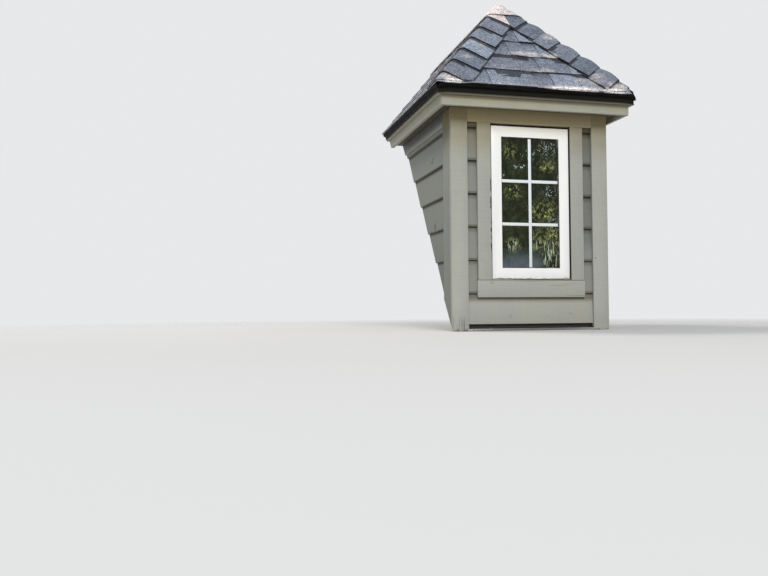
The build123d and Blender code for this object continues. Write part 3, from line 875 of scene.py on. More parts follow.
@dataclass(frozen=True)
class Scraps:
    """Irregular scraps of one painted reflection colour that fill soft ovals on the glass."""

    colour: Colour
    scale: Triple
    share: float
    ovals: tuple[Oval, ...]

    def over(self, g: Graph, colour: Socket, face_y: float) -> Socket:
        """Lay the scraps over a colour.

        Args:
            g: The glass's graph.
            colour: The colour under them.
            face_y: Y of the outer pane's face.

        Returns:
            The new colour.
        """
        near = g.most([g.spot((x, face_y, z), (half_x, 0.2, half_z)) for x, z, half_x, half_z in self.ovals])
        pattern = g.noise(self.scale, detail=2.5, roughness=0.55, distortion=0.9)
        edge = 0.68 - 0.22 * self.share
        return g.mix(g.times(near, g.span(pattern, edge, edge + 0.055)), colour, self.colour)


# Painted reflections of foliage, sky glints and reeds in the glass.
REFLECTED_LEAVES = Scraps(
    (0.115, 0.130, 0.050),
    (62.0, 62.0, 46.0),
    0.75,
    (
        (0.085, 0.560, 0.115, 0.085),
        (0.120, 0.415, 0.080, 0.110),
        (0.105, 0.795, 0.085, 0.050),
        (-0.095, 0.655, 0.080, 0.060),
        (0.040, 0.400, 0.065, 0.100),
        (-0.100, 0.370, 0.065, 0.060),
        (-0.115, 0.870, 0.060, 0.060),
    ),
)
REFLECTED_BRIGHT_LEAVES = Scraps(
    (0.42, 0.43, 0.17),
    (88.0, 88.0, 70.0),
    0.45,
    (
        (0.070, 0.545, 0.100, 0.055),
        (0.130, 0.440, 0.050, 0.090),
        (0.105, 0.792, 0.060, 0.024),
        (0.063, 0.875, 0.030, 0.045),
        (-0.085, 0.670, 0.050, 0.035),
    ),
)
REFLECTED_GLINTS = Scraps(
    (0.40, 0.46, 0.48),
    (120.0, 120.0, 95.0),
    0.40,
    (
        (0.105, 0.885, 0.065, 0.075),
        (-0.060, 0.790, 0.075, 0.018),
        (0.115, 0.660, 0.065, 0.045),
        (-0.028, 0.850, 0.034, 0.040),
        (0.014, 0.865, 0.025, 0.060),
        (-0.148, 0.742, 0.014, 0.030),
        (0.135, 0.500, 0.040, 0.030),
    ),
)
REFLECTED_REEDS = Scraps(
    (0.40, 0.46, 0.33),
    (125.0, 125.0, 20.0),
    0.65,
    (
        (-0.095, 0.372, 0.050, 0.048),
        (0.086, 0.300, 0.020, 0.060),
        (0.130, 0.292, 0.042, 0.060),
        (0.112, 0.340, 0.060, 0.075),
        (0.060, 0.370, 0.060, 0.040),
    ),
)


@dataclass(frozen=True)
class GlassWithPaintedReflections:
    """Sealed glass over a dark attic, its colour painted with the attic's shade and with reflections of green
    foliage, pale glints and a hazy sky.
    """

    shadow: Colour = (0.0065, 0.0108, 0.0012)
    reflected_foliage: Colour = (0.034, 0.040, 0.018)
    reflected_haze: Colour = (0.092, 0.118, 0.136)
    face_y: float = WINDOW_FACE_Y + 0.0122
    layers: tuple[Scraps, ...] = (REFLECTED_LEAVES, REFLECTED_BRIGHT_LEAVES, REFLECTED_GLINTS, REFLECTED_REEDS)

    def material(self) -> Material:
        """Build the material.

        Returns:
            The material.
        """
        g = Graph("glass_with_painted_reflections")
        bend = g.noise((6.0, 6.0, 5.0), detail=3.0)
        mass = g.noise((15.0, 15.0, 12.0), detail=3.0, roughness=0.6, distortion=0.4)
        reflected_leaves = g.noise((105.0, 105.0, 80.0), detail=3.0, roughness=0.65, distortion=0.8)
        colour = g.mix(g.times(g.span(mass, 0.40, 0.60), g.span(reflected_leaves, 0.36, 0.64)), self.shadow, self.reflected_foliage)
        for layer in self.layers:
            colour = layer.over(g, colour, self.face_y)
        # Painted reflection of a pale, hazy sky low on the right.
        low = g.times(g.span(g.z, 0.255, 0.370, 0.95, 0.0), g.span(g.x, 0.130, 0.010))
        colour = g.mix(g.times(low, g.span(mass, 0.3, 0.6, 0.45, 1.0)), colour, self.reflected_haze)
        g.surface(colour, g.span(bend, 0.2, 0.8, 0.035, 0.07), specular=0.19)
        g.bump(bend, 0.0012, 0.25)
        return g.material


@dataclass(frozen=True)
class PlainFinish:
    """One colour with fine mottling, for divider bars and spacer bars."""

    name: str
    colour: Colour
    roughness: float
    metallic: float = 0.0
    mottle: float = 0.15

    def material(self) -> Material:
        """Build the material.

        Returns:
            The material.
        """
        g = Graph(self.name)
        fine = g.noise(120.0, detail=3.0)
        colour = g.darken(self.colour, g.span(fine, 0.3, 0.7, 1.0 - self.mottle, 1.0 + self.mottle))
        g.surface(colour, g.span(fine, 0.2, 0.8, self.roughness - 0.03, self.roughness + 0.05), self.metallic)
        return g.material


@dataclass(frozen=True)
class Sealant:
    """Dark sealant round the window frame, thin and partly painted over along its foot."""

    colour: Colour = (0.022, 0.018, 0.015)
    thin: Colour = (0.042, 0.030, 0.022)
    painted: Colour = (0.300, 0.300, 0.265)
    left_drop: float = 0.0012
    right_drop: float = 0.0050

    def material(self) -> Material:
        """Build the material.

        Returns:
            The material.
        """
        g = Graph("dark_sealant")
        runs = g.noise(22.0, detail=3.0, roughness=0.6)
        foot_z = g.span(g.x, -0.22, 0.22, WINDOW_LOW_Z - self.left_drop, WINDOW_LOW_Z - self.right_drop)
        line_z = g.plus(foot_z, g.span(runs, 0.3, 0.7, -0.0013, 0.0013))
        off = g.math("ABSOLUTE", g.math("SUBTRACT", g.z, line_z))
        torn = g.times(g.fade(off, 0.0010, 0.0026), g.span(g.x, -0.195, -0.170))
        low = g.fade(g.z, WINDOW_LOW_Z + 0.0005, WINDOW_LOW_Z + 0.0015)
        colour = g.mix(low, self.colour, g.mix(torn, self.painted, self.thin))
        g.surface(colour, g.span(runs, 0.2, 0.8, 0.72, 0.85))
        return g.material


@dataclass(frozen=True)
class Gasket:
    """Dark glazing gasket with a dull sheen in places."""

    colour: Colour = (0.040, 0.036, 0.030)
    sheen: Colour = (0.25, 0.25, 0.25)

    def material(self) -> Material:
        """Build the material.

        Returns:
            The material.
        """
        g = Graph("glazing_gasket")
        runs = g.noise((16.0, 60.0, 22.0), detail=3.0, roughness=0.6)
        colour = g.mix(g.span(runs, 0.50, 0.66, 0.0, 0.8), self.colour, self.sheen)
        g.surface(colour, g.span(runs, 0.3, 0.7, 0.45, 0.6), specular=0.3)
        g.bump(runs, 0.0006, 0.4)
        return g.material


@dataclass(frozen=True)
class Softwood:
    """Planed framing timber with growth rings, knots and drying checks."""

    grain: Grain
    early: Colour = (0.62, 0.45, 0.27)
    late: Colour = (0.47, 0.29, 0.145)
    fibre: Colour = (0.40, 0.26, 0.14)
    grey: Colour = (0.45, 0.36, 0.26)
    knot: Colour = (0.15, 0.075, 0.035)

    def turned(self, g: Graph) -> Socket:
        """Place on the timber with its grain turned to run along X."""
        x = g.x
        direction = Vector(self.grain.value)
        if direction.x < 0.0:
            x = g.times(g.math("ABSOLUTE", x), -1.0)
        turn = direction.to_track_quat("X", "Z").inverted().to_euler()
        return g.mapped(1.0, tuple(turn), g.join(x, g.y, g.z))

    def material(self) -> Material:
        """Build the material.

        Returns:
            The material.
        """
        g = Graph(f"softwood_{self.grain.name.lower()}")
        place = self.turned(g)
        sway = g.noise((1.6, 9.0, 9.0), source=place)
        fibres = g.noise((14.0, 520.0, 520.0), detail=3.0, roughness=0.6, source=place)
        clouds = g.noise((3.0, 14.0, 14.0), detail=3.0, source=place)
        _, across, through = g.split(place)
        radius = g.radius(g.plus(across, 0.09), g.plus(through, 0.05))
        rings = g.math("SINE", g.times(g.plus(radius, g.times(sway, 0.035)), 1250.0))
        late = g.span(rings, 0.1, 1.0)
        knots = g.fade(g.cells(g.mapped((3.1, 12.0, 12.0), source=place)).outputs["Distance"], 0.05, 0.15)
        colour = g.mix(late, self.early, self.late)
        colour = g.mix(g.span(fibres, 0.35, 0.65, 0.0, 0.35), colour, self.fibre)
        colour = g.mix(g.span(clouds, 0.35, 0.7, 0.0, 0.45), colour, self.grey)
        g.surface(g.mix(knots, colour, self.knot), g.span(fibres, 0.3, 0.7, 0.58, 0.72), specular=0.3)
        g.bump(g.plus(g.times(fibres, 0.6), g.times(late, 0.25)), 0.0007, 0.7)
        return g.material


@dataclass(frozen=True)
class StrandBoard:
    """Pressed strand board, with black building paper on what faces the weather."""

    papered: bool
    strands: tuple[tuple[float, Colour], ...] = (
        (0.0, (0.27, 0.165, 0.075)),
        (0.35, (0.42, 0.28, 0.14)),
        (0.7, (0.55, 0.39, 0.21)),
        (1.0, (0.66, 0.50, 0.30)),
    )
    fibre: Colour = (0.30, 0.19, 0.09)
    paper: Colour = (0.012, 0.011, 0.010)
    worn_paper: Colour = (0.035, 0.030, 0.026)

    def strand_tone(self, g: Graph) -> Socket:
        """Tone of the strand on top, out of three layers that lie at different angles."""
        layers = ((0.5, (26.0, 92.0, 60.0)), (-0.7, (84.0, 24.0, 70.0)), (1.3, (30.0, 80.0, 28.0)))
        tone = None
        for turn, stretch in layers:
            other, pick, _ = g.cell_tones(stretch, (turn, turn * 0.6, turn))
            if tone is None:
                tone = other
                continue
            on_top = g.span(pick, 0.45, 0.55)
            tone = g.plus(g.times(tone, g.math("SUBTRACT", 1.0, on_top)), g.times(other, on_top))
        return tone

    def material(self) -> Material:
        """Build the material.

        Returns:
            The material.
        """
        g = Graph("strand_board_wall" if self.papered else "strand_board_roof")
        tone = self.strand_tone(g)
        fibres = g.noise(260.0, detail=3.0)
        colour = g.mix(g.span(fibres, 0.4, 0.7, 0.0, 0.3), g.ramp(tone, self.strands), self.fibre)
        if self.papered:
            front = g.math("LESS_THAN", g.y, SHEATH_FACE_Y + 0.006)
            side = g.math("GREATER_THAN", g.math("ABSOLUTE", g.x), SHEATH_FACE_X - 0.0004)
            paper = g.mix(g.span(fibres, 0.35, 0.65), self.paper, self.worn_paper)
            colour = g.mix(g.most([front, side]), colour, paper)
        g.surface(colour, 0.72, specular=0.3)
        g.bump(g.plus(tone, g.times(fibres, 0.3)), 0.0009, 0.7)
        return g.material


# The dormer's sub-assemblies


@dataclass
class Carcass:
    """Framing and sheathing, which keep their CAD shape."""

    lumber: dict[Grain, tuple[str, ...]] = field(
        default_factory=lambda: {
            Grain.ACROSS: ("front_sill", "window_header", "rough_sill", "front_top_plate"),
            Grain.UP: ("corner_studs", "king_studs", "jack_studs", "sill_cripples", "cheek_studs"),
            Grain.BACK: ("cheek_top_plates", "ridge_board"),
            Grain.MAIN_SLOPE: ("sole_plates", "valley_boards"),
            Grain.FRONT_SLOPE: ("front_rafters",),
            Grain.SIDE_SLOPE: ("side_rafters",),
            Grain.HIP: ("left_hip_rafter", "right_hip_rafter"),
        }
    )
    wall_sheets: tuple[str, ...] = ("front_sheathing", "cheek_sheathing")
    roof_sheets: tuple[str, ...] = ("front_roof_deck", "side_roof_decks")

    def dress(self) -> None:
        """Give every kept node its material."""
        for grain, nodes in self.lumber.items():
            self.coat(nodes, Softwood(grain).material())
        self.coat(self.wall_sheets, StrandBoard(papered=True).material())
        self.coat(self.roof_sheets, StrandBoard(papered=False).material())

    def coat(self, nodes: Iterable[str], material: Material) -> None:
        """Assign a material to the slots of some CAD nodes."""
        for node in nodes:
            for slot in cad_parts[node].material_slots:
                slot.material = material
            log.info("%s: kept, %s", node, material.name)


@dataclass
class PaintedBoards:
    """Boards that keep their CAD shape, with their arrises eased and painted."""

    slot: str
    arris: float
    boards: dict[str, SawnPaint]

    def build(self) -> None:
        """Make one piece for each kind of board."""
        for node, paint in self.boards.items():
            bm = node_copy(node)
            ease_edges(bm, self.arris)
            finish_piece(f"{node}_painted", bm, [paint.material()], node, self.slot)


# Brown staining with painted shade under the eave and under the drip edge.
WALL_STAIN_AND_SHADE = (SOFFIT_Z - 0.045, SOFFIT_Z - 0.120, SOFFIT_Z - 0.30)
FASCIA_STAIN_AND_SHADE = (STRIP_LOW_Z + 0.004, STRIP_LOW_Z - 0.019, STRIP_LOW_Z - 0.042)
FASCIA_PAINT = (0.366, 0.362, 0.302)
# Painted shade of the soffits, with brown dirt.
SHADED_SOFFIT_BROWN = (0.086, 0.073, 0.056)
STRIP_BEIGE = (0.320, 0.300, 0.230)
SHADED_STRIP = (0.150, 0.138, 0.102)
SHADED_TRIM = (0.295, 0.302, 0.276)
SHADED_CORNER = (0.214, 0.222, 0.204)
CASING_PAINT = (0.360, 0.366, 0.332)
APRON_PAINT = (0.345, 0.350, 0.315)
BOTTOM_PAINT = (0.345, 0.350, 0.312)
# Painted shade: darker paint for the siding strips between casings and corner boards, and for the cheeks.
SHADED_STRIP_SIDING_PAINT = (0.246, 0.254, 0.232)
SHADED_CHEEK_PAINT = (0.246, 0.255, 0.233)
RUST = (0.20, 0.085, 0.055)
SIDING_MARK_Y = -0.068
CHEEK_MARK_X = -0.433
SIDING_DENTS = (
    Mark((-0.123, SIDING_MARK_Y, -0.004), (0.010, 0.02, 0.010), (0.24, 0.24, 0.21), 0.7),
    Mark((0.223, SIDING_MARK_Y, 0.008), (0.011, 0.02, 0.007), (0.25, 0.25, 0.22), 0.6),
    Mark((0.092, SIDING_MARK_Y, -0.006), (0.012, 0.02, 0.006), (0.27, 0.26, 0.23), 0.6),
    Mark((-0.075, SIDING_MARK_Y, -0.0465), (0.055, 0.02, 0.0035), RUST, 0.7),
)
CHEEK_CRACKS = (
    Mark((CHEEK_MARK_X, 0.268, 0.878), (0.05, 0.010, 0.013)),
    Mark((CHEEK_MARK_X, 0.284, 0.862), (0.05, 0.016, 0.010)),
    Mark((CHEEK_MARK_X, 0.236, 0.492), (0.05, 0.012, 0.034)),
    Mark((CHEEK_MARK_X, 0.314, 0.468), (0.05, 0.014, 0.012)),
)
CORNER_KNOTS = (
    Mark((0.369, TRIM_FACE_Y, 0.306), (0.007, 0.02, 0.005), (0.12, 0.10, 0.07)),
    Mark((-0.441, TRIM_FACE_Y, 1.052), (0.0045, 0.02, 0.0045), (0.07, 0.06, 0.04)),
)
APRON_MARKS = (
    Mark((-0.226, TRIM_FACE_Y, 0.172), (0.022, 0.02, 0.014), (0.20, 0.17, 0.11), 0.32),
    Mark((-0.076, TRIM_FACE_Y, 0.119), (0.045, 0.02, 0.007), (0.29, 0.34, 0.35), 0.5),
)
APRON_JOINT = HeightShade(APRON_TOP_Z - 0.0045, APRON_TOP_Z - 0.0015, 1.0, 0.38)
# Painted shade under the eave on the cheek friezes.
FRIEZE_EAVE_SHADE = HeightShade(SOFFIT_Z - 0.075, SOFFIT_Z - 0.035, 1.0, 0.45)
CHEEK_SHADE = HeightShade(FOOT_Z, FOOT_Z + 0.75, 0.70, 1.0)


def upper_shade(share: float) -> tuple[HeightShade, ...]:
    """Shading that deepens up the wall, to a share of the colour."""
    return (HeightShade(0.10, 0.75, 1.0, share),)


@dataclass
class Trim(PaintedBoards):
    """Painted boards of the walls and eaves."""

    slot: str = "painted_trim"
    arris: float = 0.0018
    boards: dict[str, SawnPaint] = field(
        default_factory=lambda: {
            "front_corner_boards": SawnPaint(
                Grain.UP, foot_wear=True, shades=upper_shade(0.89), stain_and_shade=WALL_STAIN_AND_SHADE, marks=CORNER_KNOTS
            ),
            "side_corner_boards": SawnPaint(Grain.UP, colour=SHADED_CORNER, foot_wear=True, stain_and_shade=WALL_STAIN_AND_SHADE),
            "head_board": SawnPaint(Grain.ACROSS, stain_and_shade=WALL_STAIN_AND_SHADE, kerf=0.97),
            "side_casings": SawnPaint(
                Grain.UP, colour=CASING_PAINT, shades=upper_shade(0.93), stain_and_shade=WALL_STAIN_AND_SHADE, reveal_shade_and_sealant=True
            ),
            "apron_board": SawnPaint(
                Grain.ACROSS,
                colour=APRON_PAINT,
                checks=True,
                kerf=0.97,
                shades=(APRON_JOINT,),
                marks=APRON_MARKS,
            ),
            "cheek_friezes": SawnPaint(Grain.BACK, colour=SHADED_TRIM, shades=(FRIEZE_EAVE_SHADE,)),
            "front_fascia": SawnPaint(
                Grain.ACROSS,
                colour=FASCIA_PAINT,
                stain_and_shade=FASCIA_STAIN_AND_SHADE,
                stain_and_shade_colour=(0.90, 0.80, 0.56),
                stain_and_shade_fade=(0.92, 0.88, 0.79),
                kerf=0.96,
            ),
            "side_fascias": SawnPaint(Grain.BACK, colour=FASCIA_PAINT, kerf=0.96),
            "front_soffit": SawnPaint(Grain.ACROSS, colour=SHADED_SOFFIT_BROWN),
            "side_soffits": SawnPaint(Grain.BACK, colour=SHADED_SOFFIT_BROWN),
            "front_eave_strip": SawnPaint(Grain.ACROSS, colour=SHADED_STRIP),
            "side_eave_strips": SawnPaint(Grain.BACK, colour=STRIP_BEIGE),
        }
    )


@dataclass
class LapSiding(PaintedBoards):
    """Lapped boards on the front and the cheeks."""

    slot: str = "painted_siding"
    arris: float = 0.0012
    boards: dict[str, SawnPaint] = field(
        default_factory=lambda: {
            "bottom_siding": SawnPaint(
                Grain.ACROSS, colour=BOTTOM_PAINT, kerf=0.96, under=APRON_LOW_Z, marks=SIDING_DENTS
            ),
            "siding_strips": SawnPaint(
                Grain.ACROSS,
                colour=SHADED_STRIP_SIDING_PAINT,
                shades=upper_shade(0.93),
                laps=(0.085, 0.79, 0.950),
                kerf=0.97,
                under=HEAD_LOW_Z,
                stain_and_shade=WALL_STAIN_AND_SHADE,
                right_shade=0.74,
            ),
            "cheek_siding": SawnPaint(
                Grain.BACK,
                colour=SHADED_CHEEK_PAINT,
                laps=(0.04, 0.87, 0.940),
                kerf=0.96,
                shades=(CHEEK_SHADE,),
                marks=CHEEK_CRACKS,
            ),
        }
    )


@dataclass
class DripEdge:
    """Folded black sheet along the eaves, its corners hammered round and bent down."""

    sheet: float = 0.0012
    nose_drop: float = 0.018
    leg: float = 0.021
    kick: float = 0.006
    flange: float = 0.075
    stand_off: float = 0.0014
    corner_round: float = 0.016
    sag: float = 0.013
    leg_sag: float = 0.35
    sag_reach: float = 0.085
    stations: tuple[float, ...] = (-0.0012, 0.001, 0.005, 0.009, 0.014, 0.022, 0.034, 0.05, 0.068, 0.09)
    step: float = 0.12

    def profile(self) -> list[tuple[float, float]]:
        """Section of the sheet's outer face as runs from the nose and heights from the eave.

        Returns:
            The section's points.
        """
        top = self.sheet * 0.9
        low = top - self.nose_drop
        foot = low - self.leg
        return [
            (self.flange * ROOF_COS, self.flange * ROOF_SIN + self.stand_off),
            (NOSE_REACH + 0.001, (NOSE_REACH + 0.001) * PITCH + self.stand_off),
            (0.0065, 0.0065 * PITCH + self.stand_off),
            (0.0025, top + 0.0012),
            (0.0006, top - 0.0022),
            (0.0, top - 0.006),
            (0.0, low + 0.004),
            (0.0008, low + 0.001),
            (0.003, low - 0.0012),
            (NOSE_REACH - 0.003, low - 0.0052),
            (NOSE_REACH - 0.0015, low - 0.0075),
            (NOSE_REACH - 0.0015, foot),
            (NOSE_REACH - 0.003, foot - 0.003),
            (NOSE_REACH - self.kick - 0.001, foot - self.kick - 0.001),
        ]

    def bent(self, run: float, height: float, distance: float) -> tuple[float, float]:
        """Run and height of a point of the section, near a corner.

        Args:
            run: The point's run from the nose.
            height: Its height from the eave.
            distance: How far along the eave the corner is.

        Returns:
            The changed run and height.
        """
        distance = max(0.0, distance)
        outer = max(0.0, 1.0 - run / NOSE_REACH)
        if distance < self.corner_round:
            gap = self.corner_round - distance
            run += (self.corner_round - math.sqrt(self.corner_round**2 - gap**2)) * outer
        if distance < self.sag_reach:
            near = (1.0 - distance / self.sag_reach) ** 2
            on_leg = height < -self.nose_drop - 0.002
            height -= self.sag * near * max(outer, self.leg_sag if on_leg else 0.0)
        return run, height

    def sweep(self, spots: Sequence[float], place: Placer) -> BMesh:
        """Sweep the section along an eave.

        Args:
            spots: Places along the eave.
            place: Gives the point for a place, a run and a height.

        Returns:
            The sheet with its thickness.
        """
        bm = bmesh.new()
        section = self.profile()
        verts = [bm.verts.new(place(spots[0], run, height)) for run, height in section]
        edges = [bm.edges.new(pair) for pair in zip(verts, verts[1:])]
        for spot in spots[1:]:
            verts, edges = grown_row(bm, edges)
            for vert, (run, height) in zip(verts, section):
                vert.co = place(spot, run, height)
        bmesh.ops.recalc_face_normals(bm, faces=bm.faces)
        bmesh.ops.solidify(bm, geom=bm.faces[:], thickness=self.sheet)
        bmesh.ops.recalc_face_normals(bm, faces=bm.faces)
        return bm

    def front(self, along: float, run: float, height: float) -> Vector:
        """Point on the front eave, where along runs from -1 at the left mitre to 1."""
        half = NOSE_X - run
        run_bent, height_bent = self.bent(run, height, (1.0 - abs(along)) * half)
        return Vector((along * (NOSE_X - run_bent), NOSE_Y + run_bent, EAVE_Z + height_bent))

    def left(self, along: float, run: float, height: float) -> Vector:
        """Point on the left eave, where along runs from 0 at the mitre to 1 at the main roof."""
        back = (EAVE_Z + height - ROOFING_LIFT) / MAIN_SLOPE
        run_bent, height_bent = self.bent(run, height, along * (back - NOSE_Y - run))
        y = NOSE_Y + run_bent + along * (back - NOSE_Y - run_bent)
        return Vector((-NOSE_X + run_bent, y, EAVE_Z + height_bent))

    def build(self) -> None:
        """Make the front and side drip edges."""
        enamel = BakedEnamel().material()
        half = [1.0 - station / NOSE_X for station in self.stations]
        half += [self.step * count for count in range(1, 8)]
        bm = self.sweep(sorted([-spot for spot in half] + [0.0] + half), self.front)
        finish_piece("front_drip_edge_enamelled", bm, [enamel], "front_drip_edge", "drip_metal")
        length = (EAVE_Z - ROOFING_LIFT) / MAIN_SLOPE - NOSE_Y
        spots = [station / length for station in self.stations]
        spots += [self.step * count for count in range(1, 9)]
        bm = self.sweep([*spots, 1.0], self.left)
        bmesh.ops.mirror(bm, geom=[*bm.verts, *bm.edges, *bm.faces], merge_dist=0.0, axis="X")
        bmesh.ops.recalc_face_normals(bm, faces=bm.faces)
        finish_piece("side_drip_edges_enamelled", bm, [enamel], "side_drip_edges", "drip_metal")


@dataclass
class WindowUnit:
    """White window frame with a bead, divider bars on both faces and a sealed glass unit."""

    width: float = 0.440
    frame_face: float = 0.056
    bead: float = 0.005
    recess: float = 0.010
    lip: float = 0.002
    bite: float = 0.008
    depth: float = 0.080
    back_step: float = 0.014
    glass: float = 0.020
    pane: float = 0.004
    play: float = 0.0002
    spacer: float = 0.0065
    bar_width: float = 0.0165
    bar_depth: float = 0.004
    bar_ease: float = 0.0022
    rows: int = 3
    arris: float = 0.0014
    joint: tuple[float, float] = (0.019, 0.030)
    bead_size: Triple = (0.011, 0.014, 0.0078)

    @property
    def middle(self) -> Vector:
        """Middle of the frame's face."""
        return Vector((0.0, WINDOW_FACE_Y, WINDOW_LOW_Z + WINDOW_HEIGHT / 2))

    @property
    def sight(self) -> float:
        """Inset of the bead's inner edge."""
        return self.frame_face + self.bead

    @property
    def pocket(self) -> float:
        """Depth of the glass unit's outer face."""
        return self.recess + self.lip

    def corner(self, point: Vector, inset: float, depth: float) -> Vector:
        """Corner of a rectangle that is set in from the frame's edge and back from its face.

        Args:
            point: Any point in the same quarter of the window.
            inset: Distance in from the frame's outer edge.
            depth: Distance behind the frame's face.

        Returns:
            The corner.
        """
        mid_z = self.middle.z
        x = math.copysign(self.width / 2 - inset, point.x)
        z = mid_z + math.copysign(WINDOW_HEIGHT / 2 - inset, point.z - mid_z)
        return Vector((x, WINDOW_FACE_Y + depth, z))

    def tube(self, section: Sequence[tuple[float, float]]) -> BMesh:
        """Closed rectangular ring with a given section.

        Args:
            section: Insets and depths of the section's corners, in order round it.

        Returns:
            The ring's bmesh.
        """
        bm = bmesh.new()
        upright = Matrix.Translation(self.middle) @ Matrix.Rotation(math.pi / 2, 4, "X")
        bmesh.ops.create_grid(bm, x_segments=1, y_segments=1, size=0.1, matrix=upright)
        edges = bm.edges[:]
        bmesh.ops.delete(bm, geom=bm.faces[:], context="FACES_ONLY")
        for vert in bm.verts:
            vert.co = self.corner(vert.co, *section[0])
        for inset, depth in [*section[1:], section[0]]:
            verts, edges = grown_row(bm, edges)
            for vert in verts:
                vert.co = self.corner(vert.co, inset, depth)
        bmesh.ops.remove_doubles(bm, verts=bm.verts, dist=1e-6)
        bmesh.ops.recalc_face_normals(bm, faces=bm.faces)
        return bm

    def bars(self, front: float) -> BMesh:
        """Divider bars on one face of the glass.

        Args:
            front: Depth of the bars' outer side behind the frame's face.

        Returns:
            The bars' bmesh.
        """
        bm = bmesh.new()
        inset = self.sight - 0.001
        half_x = self.width / 2 - inset
        half_z = WINDOW_HEIGHT / 2 - inset
        middle = self.middle + Vector((0.0, front + self.bar_depth / 2, 0.0))
        add_box(bm, middle, (self.bar_width, self.bar_depth, 2 * half_z))
        reach = half_x - self.bar_width / 2
        for row in range(1, self.rows):
            rise = 2 * half_z * row / self.rows - half_z
            for side in (-1.0, 1.0):
                centre = middle + Vector((side * (self.bar_width + reach) / 2, 0.0, rise))
                add_box(bm, centre, (reach, self.bar_depth, self.bar_width))
        ease_edges(bm, self.bar_ease)
        return bm

    def foot_bead(self) -> BMesh:
        """Bead of sealant that fills the gap between the frame's foot and the apron.

        Returns:
            The bead's bmesh.
        """
        bm = bmesh.new()
        longer, depth, height = self.bead_size
        add_box(bm, (0.0, WINDOW_FACE_Y + 0.004, WINDOW_LOW_Z - 0.0034), (self.width + longer, depth, height))
        ease_edges(bm, 0.0015)
        return bm

    def frame_ring(self) -> BMesh:
        """Frame with its bead and the groove for the glass, its sight edge marked for the gasket.

        Returns:
            The frame's bmesh.
        """
        sight = self.sight
        pocket = self.pocket
        bm = self.tube(
            [
                (0.0, self.depth),
                (0.0, 0.0),
                (self.frame_face, 0.0),
                (sight, self.recess),
                (sight, pocket),
                (sight - self.bite, pocket),
                (sight - self.bite, pocket + self.glass),
                (sight, pocket + self.glass),
                (sight - 0.003, self.depth - self.back_step),
                (self.frame_face - 0.004, self.depth),
            ]
        )
        for face in bm.faces:
            inner = all(self.width / 2 - abs(v.co.x) > self.frame_face - MERGE_GAP for v in face.verts)
            deepest = max(v.co.y - WINDOW_FACE_Y for v in face.verts)
            if inner and MERGE_GAP < deepest < pocket + MERGE_GAP:
                face.material_index = 3
        ease_edges(bm, self.arris)
        return bm

    def build(self) -> None:
        """Make the frame with its bars and sealant, and the glass."""
        bar_white = PlainFinish("bar_white", (0.70, 0.735, 0.755), 0.35, mottle=0.03)
        bm = self.frame_ring()
        for front in (self.pocket - self.bar_depth, self.pocket + self.glass):
            absorb(bm, self.bars(front), 2)
        gap = WINDOW_SIDE_GAP - 0.0005
        near, far = self.joint
        absorb(bm, self.tube([(-gap, far), (-gap, near), (0.0005, near), (0.0005, far)]), 1)
        absorb(bm, self.foot_bead(), 1)
        finishes = (WindowWhite(), Sealant(), bar_white, Gasket())
        materials = [finish.material() for finish in finishes]
        finish_piece("window_frame_white", bm, materials, "window_frame", "window_white")
        self.build_glass(self.sight - self.bite)

    def build_glass(self, inset: float) -> None:
        """Make the two panes and the spacer between them.

        Args:
            inset: Distance of the groove's edge from the frame's outer edge.
        """
        bm = bmesh.new()
        outer = self.pocket + self.play
        inner = self.pocket + self.glass - self.pane - self.play
        edge = inset + 0.0003
        for depth in (outer, inner):
            centre = self.middle + Vector((0.0, depth + self.pane / 2, 0.0))
            add_box(bm, centre, (self.width - 2 * edge, self.pane, WINDOW_HEIGHT - 2 * edge))
        ease_edges(bm, 0.0006, 1)
        low = inset + 0.0006
        high = low + self.spacer
        behind = outer + self.pane
        absorb(bm, self.tube([(low, behind), (low, inner), (high, inner), (high, behind)]), 1)
        spacer = PlainFinish("spacer_bar", (0.10, 0.10, 0.105), 0.4, 0.8)
        materials = [GlassWithPaintedReflections().material(), spacer.material()]
        finish_piece("window_glass_panes", bm, materials, "window_glass", "window_glass")


def scaled(colour: Colour, gain: float) -> Colour:
    """The colour made lighter or darker."""
    return tuple(part * gain for part in colour)


def blended(colour: Colour, goal: Colour, amount: float) -> Colour:
    """The colour moved towards another by an amount from 0 to 1."""
    return tuple(part + (other - part) * amount for part, other in zip(colour, goal))


def held(value: float) -> float:
    """The value held between 0 and 1."""
    return min(1.0, max(0.0, value))


@dataclass(frozen=True)
class Blend:
    """Colours that the granules are blended in, and how often each comes."""

    colours: tuple[Colour, ...] = (
        (0.148, 0.174, 0.216),
        (0.174, 0.205, 0.250),
        (0.204, 0.244, 0.294),
        (0.150, 0.170, 0.210),
        (0.122, 0.144, 0.180),
        (0.170, 0.184, 0.222),
    )
    weights: tuple[float, ...] = (4.0, 5.0, 3.0, 3.0, 2.0, 1.5)
    # Faded granules with painted sunlight: the eave, some butts, the upper left caps and the apex sheet;
    # pale_edge rims those caps.
    pale: Colour = (0.58, 0.520, 0.502)
    slate: Colour = (0.174, 0.205, 0.250)
    pale_edge: Colour = (0.30, 0.26, 0.25)
    # Rims of the left slope: painted sunlight with abraded granules.
    sunlit_worn_edge: Colour = (0.36, 0.33, 0.32)
    # Rims and butt faces of shingles and caps: painted shade.
    edge: Colour = (0.016, 0.017, 0.019)
    cut_edge: Colour = (0.30, 0.28, 0.27)

    def draw(self, rng: random.Random) -> Colour:
        """One of the colours, drawn, a little lighter or darker."""
        colour = rng.choices(self.colours, self.weights)[0]
        return scaled(colour, rng.uniform(0.90, 1.12))

    def near(self, rng: random.Random, place: int) -> Colour:
        """The colour at a place in the list, hardly lighter or darker."""
        return scaled(self.colours[place], rng.uniform(0.96, 1.04))


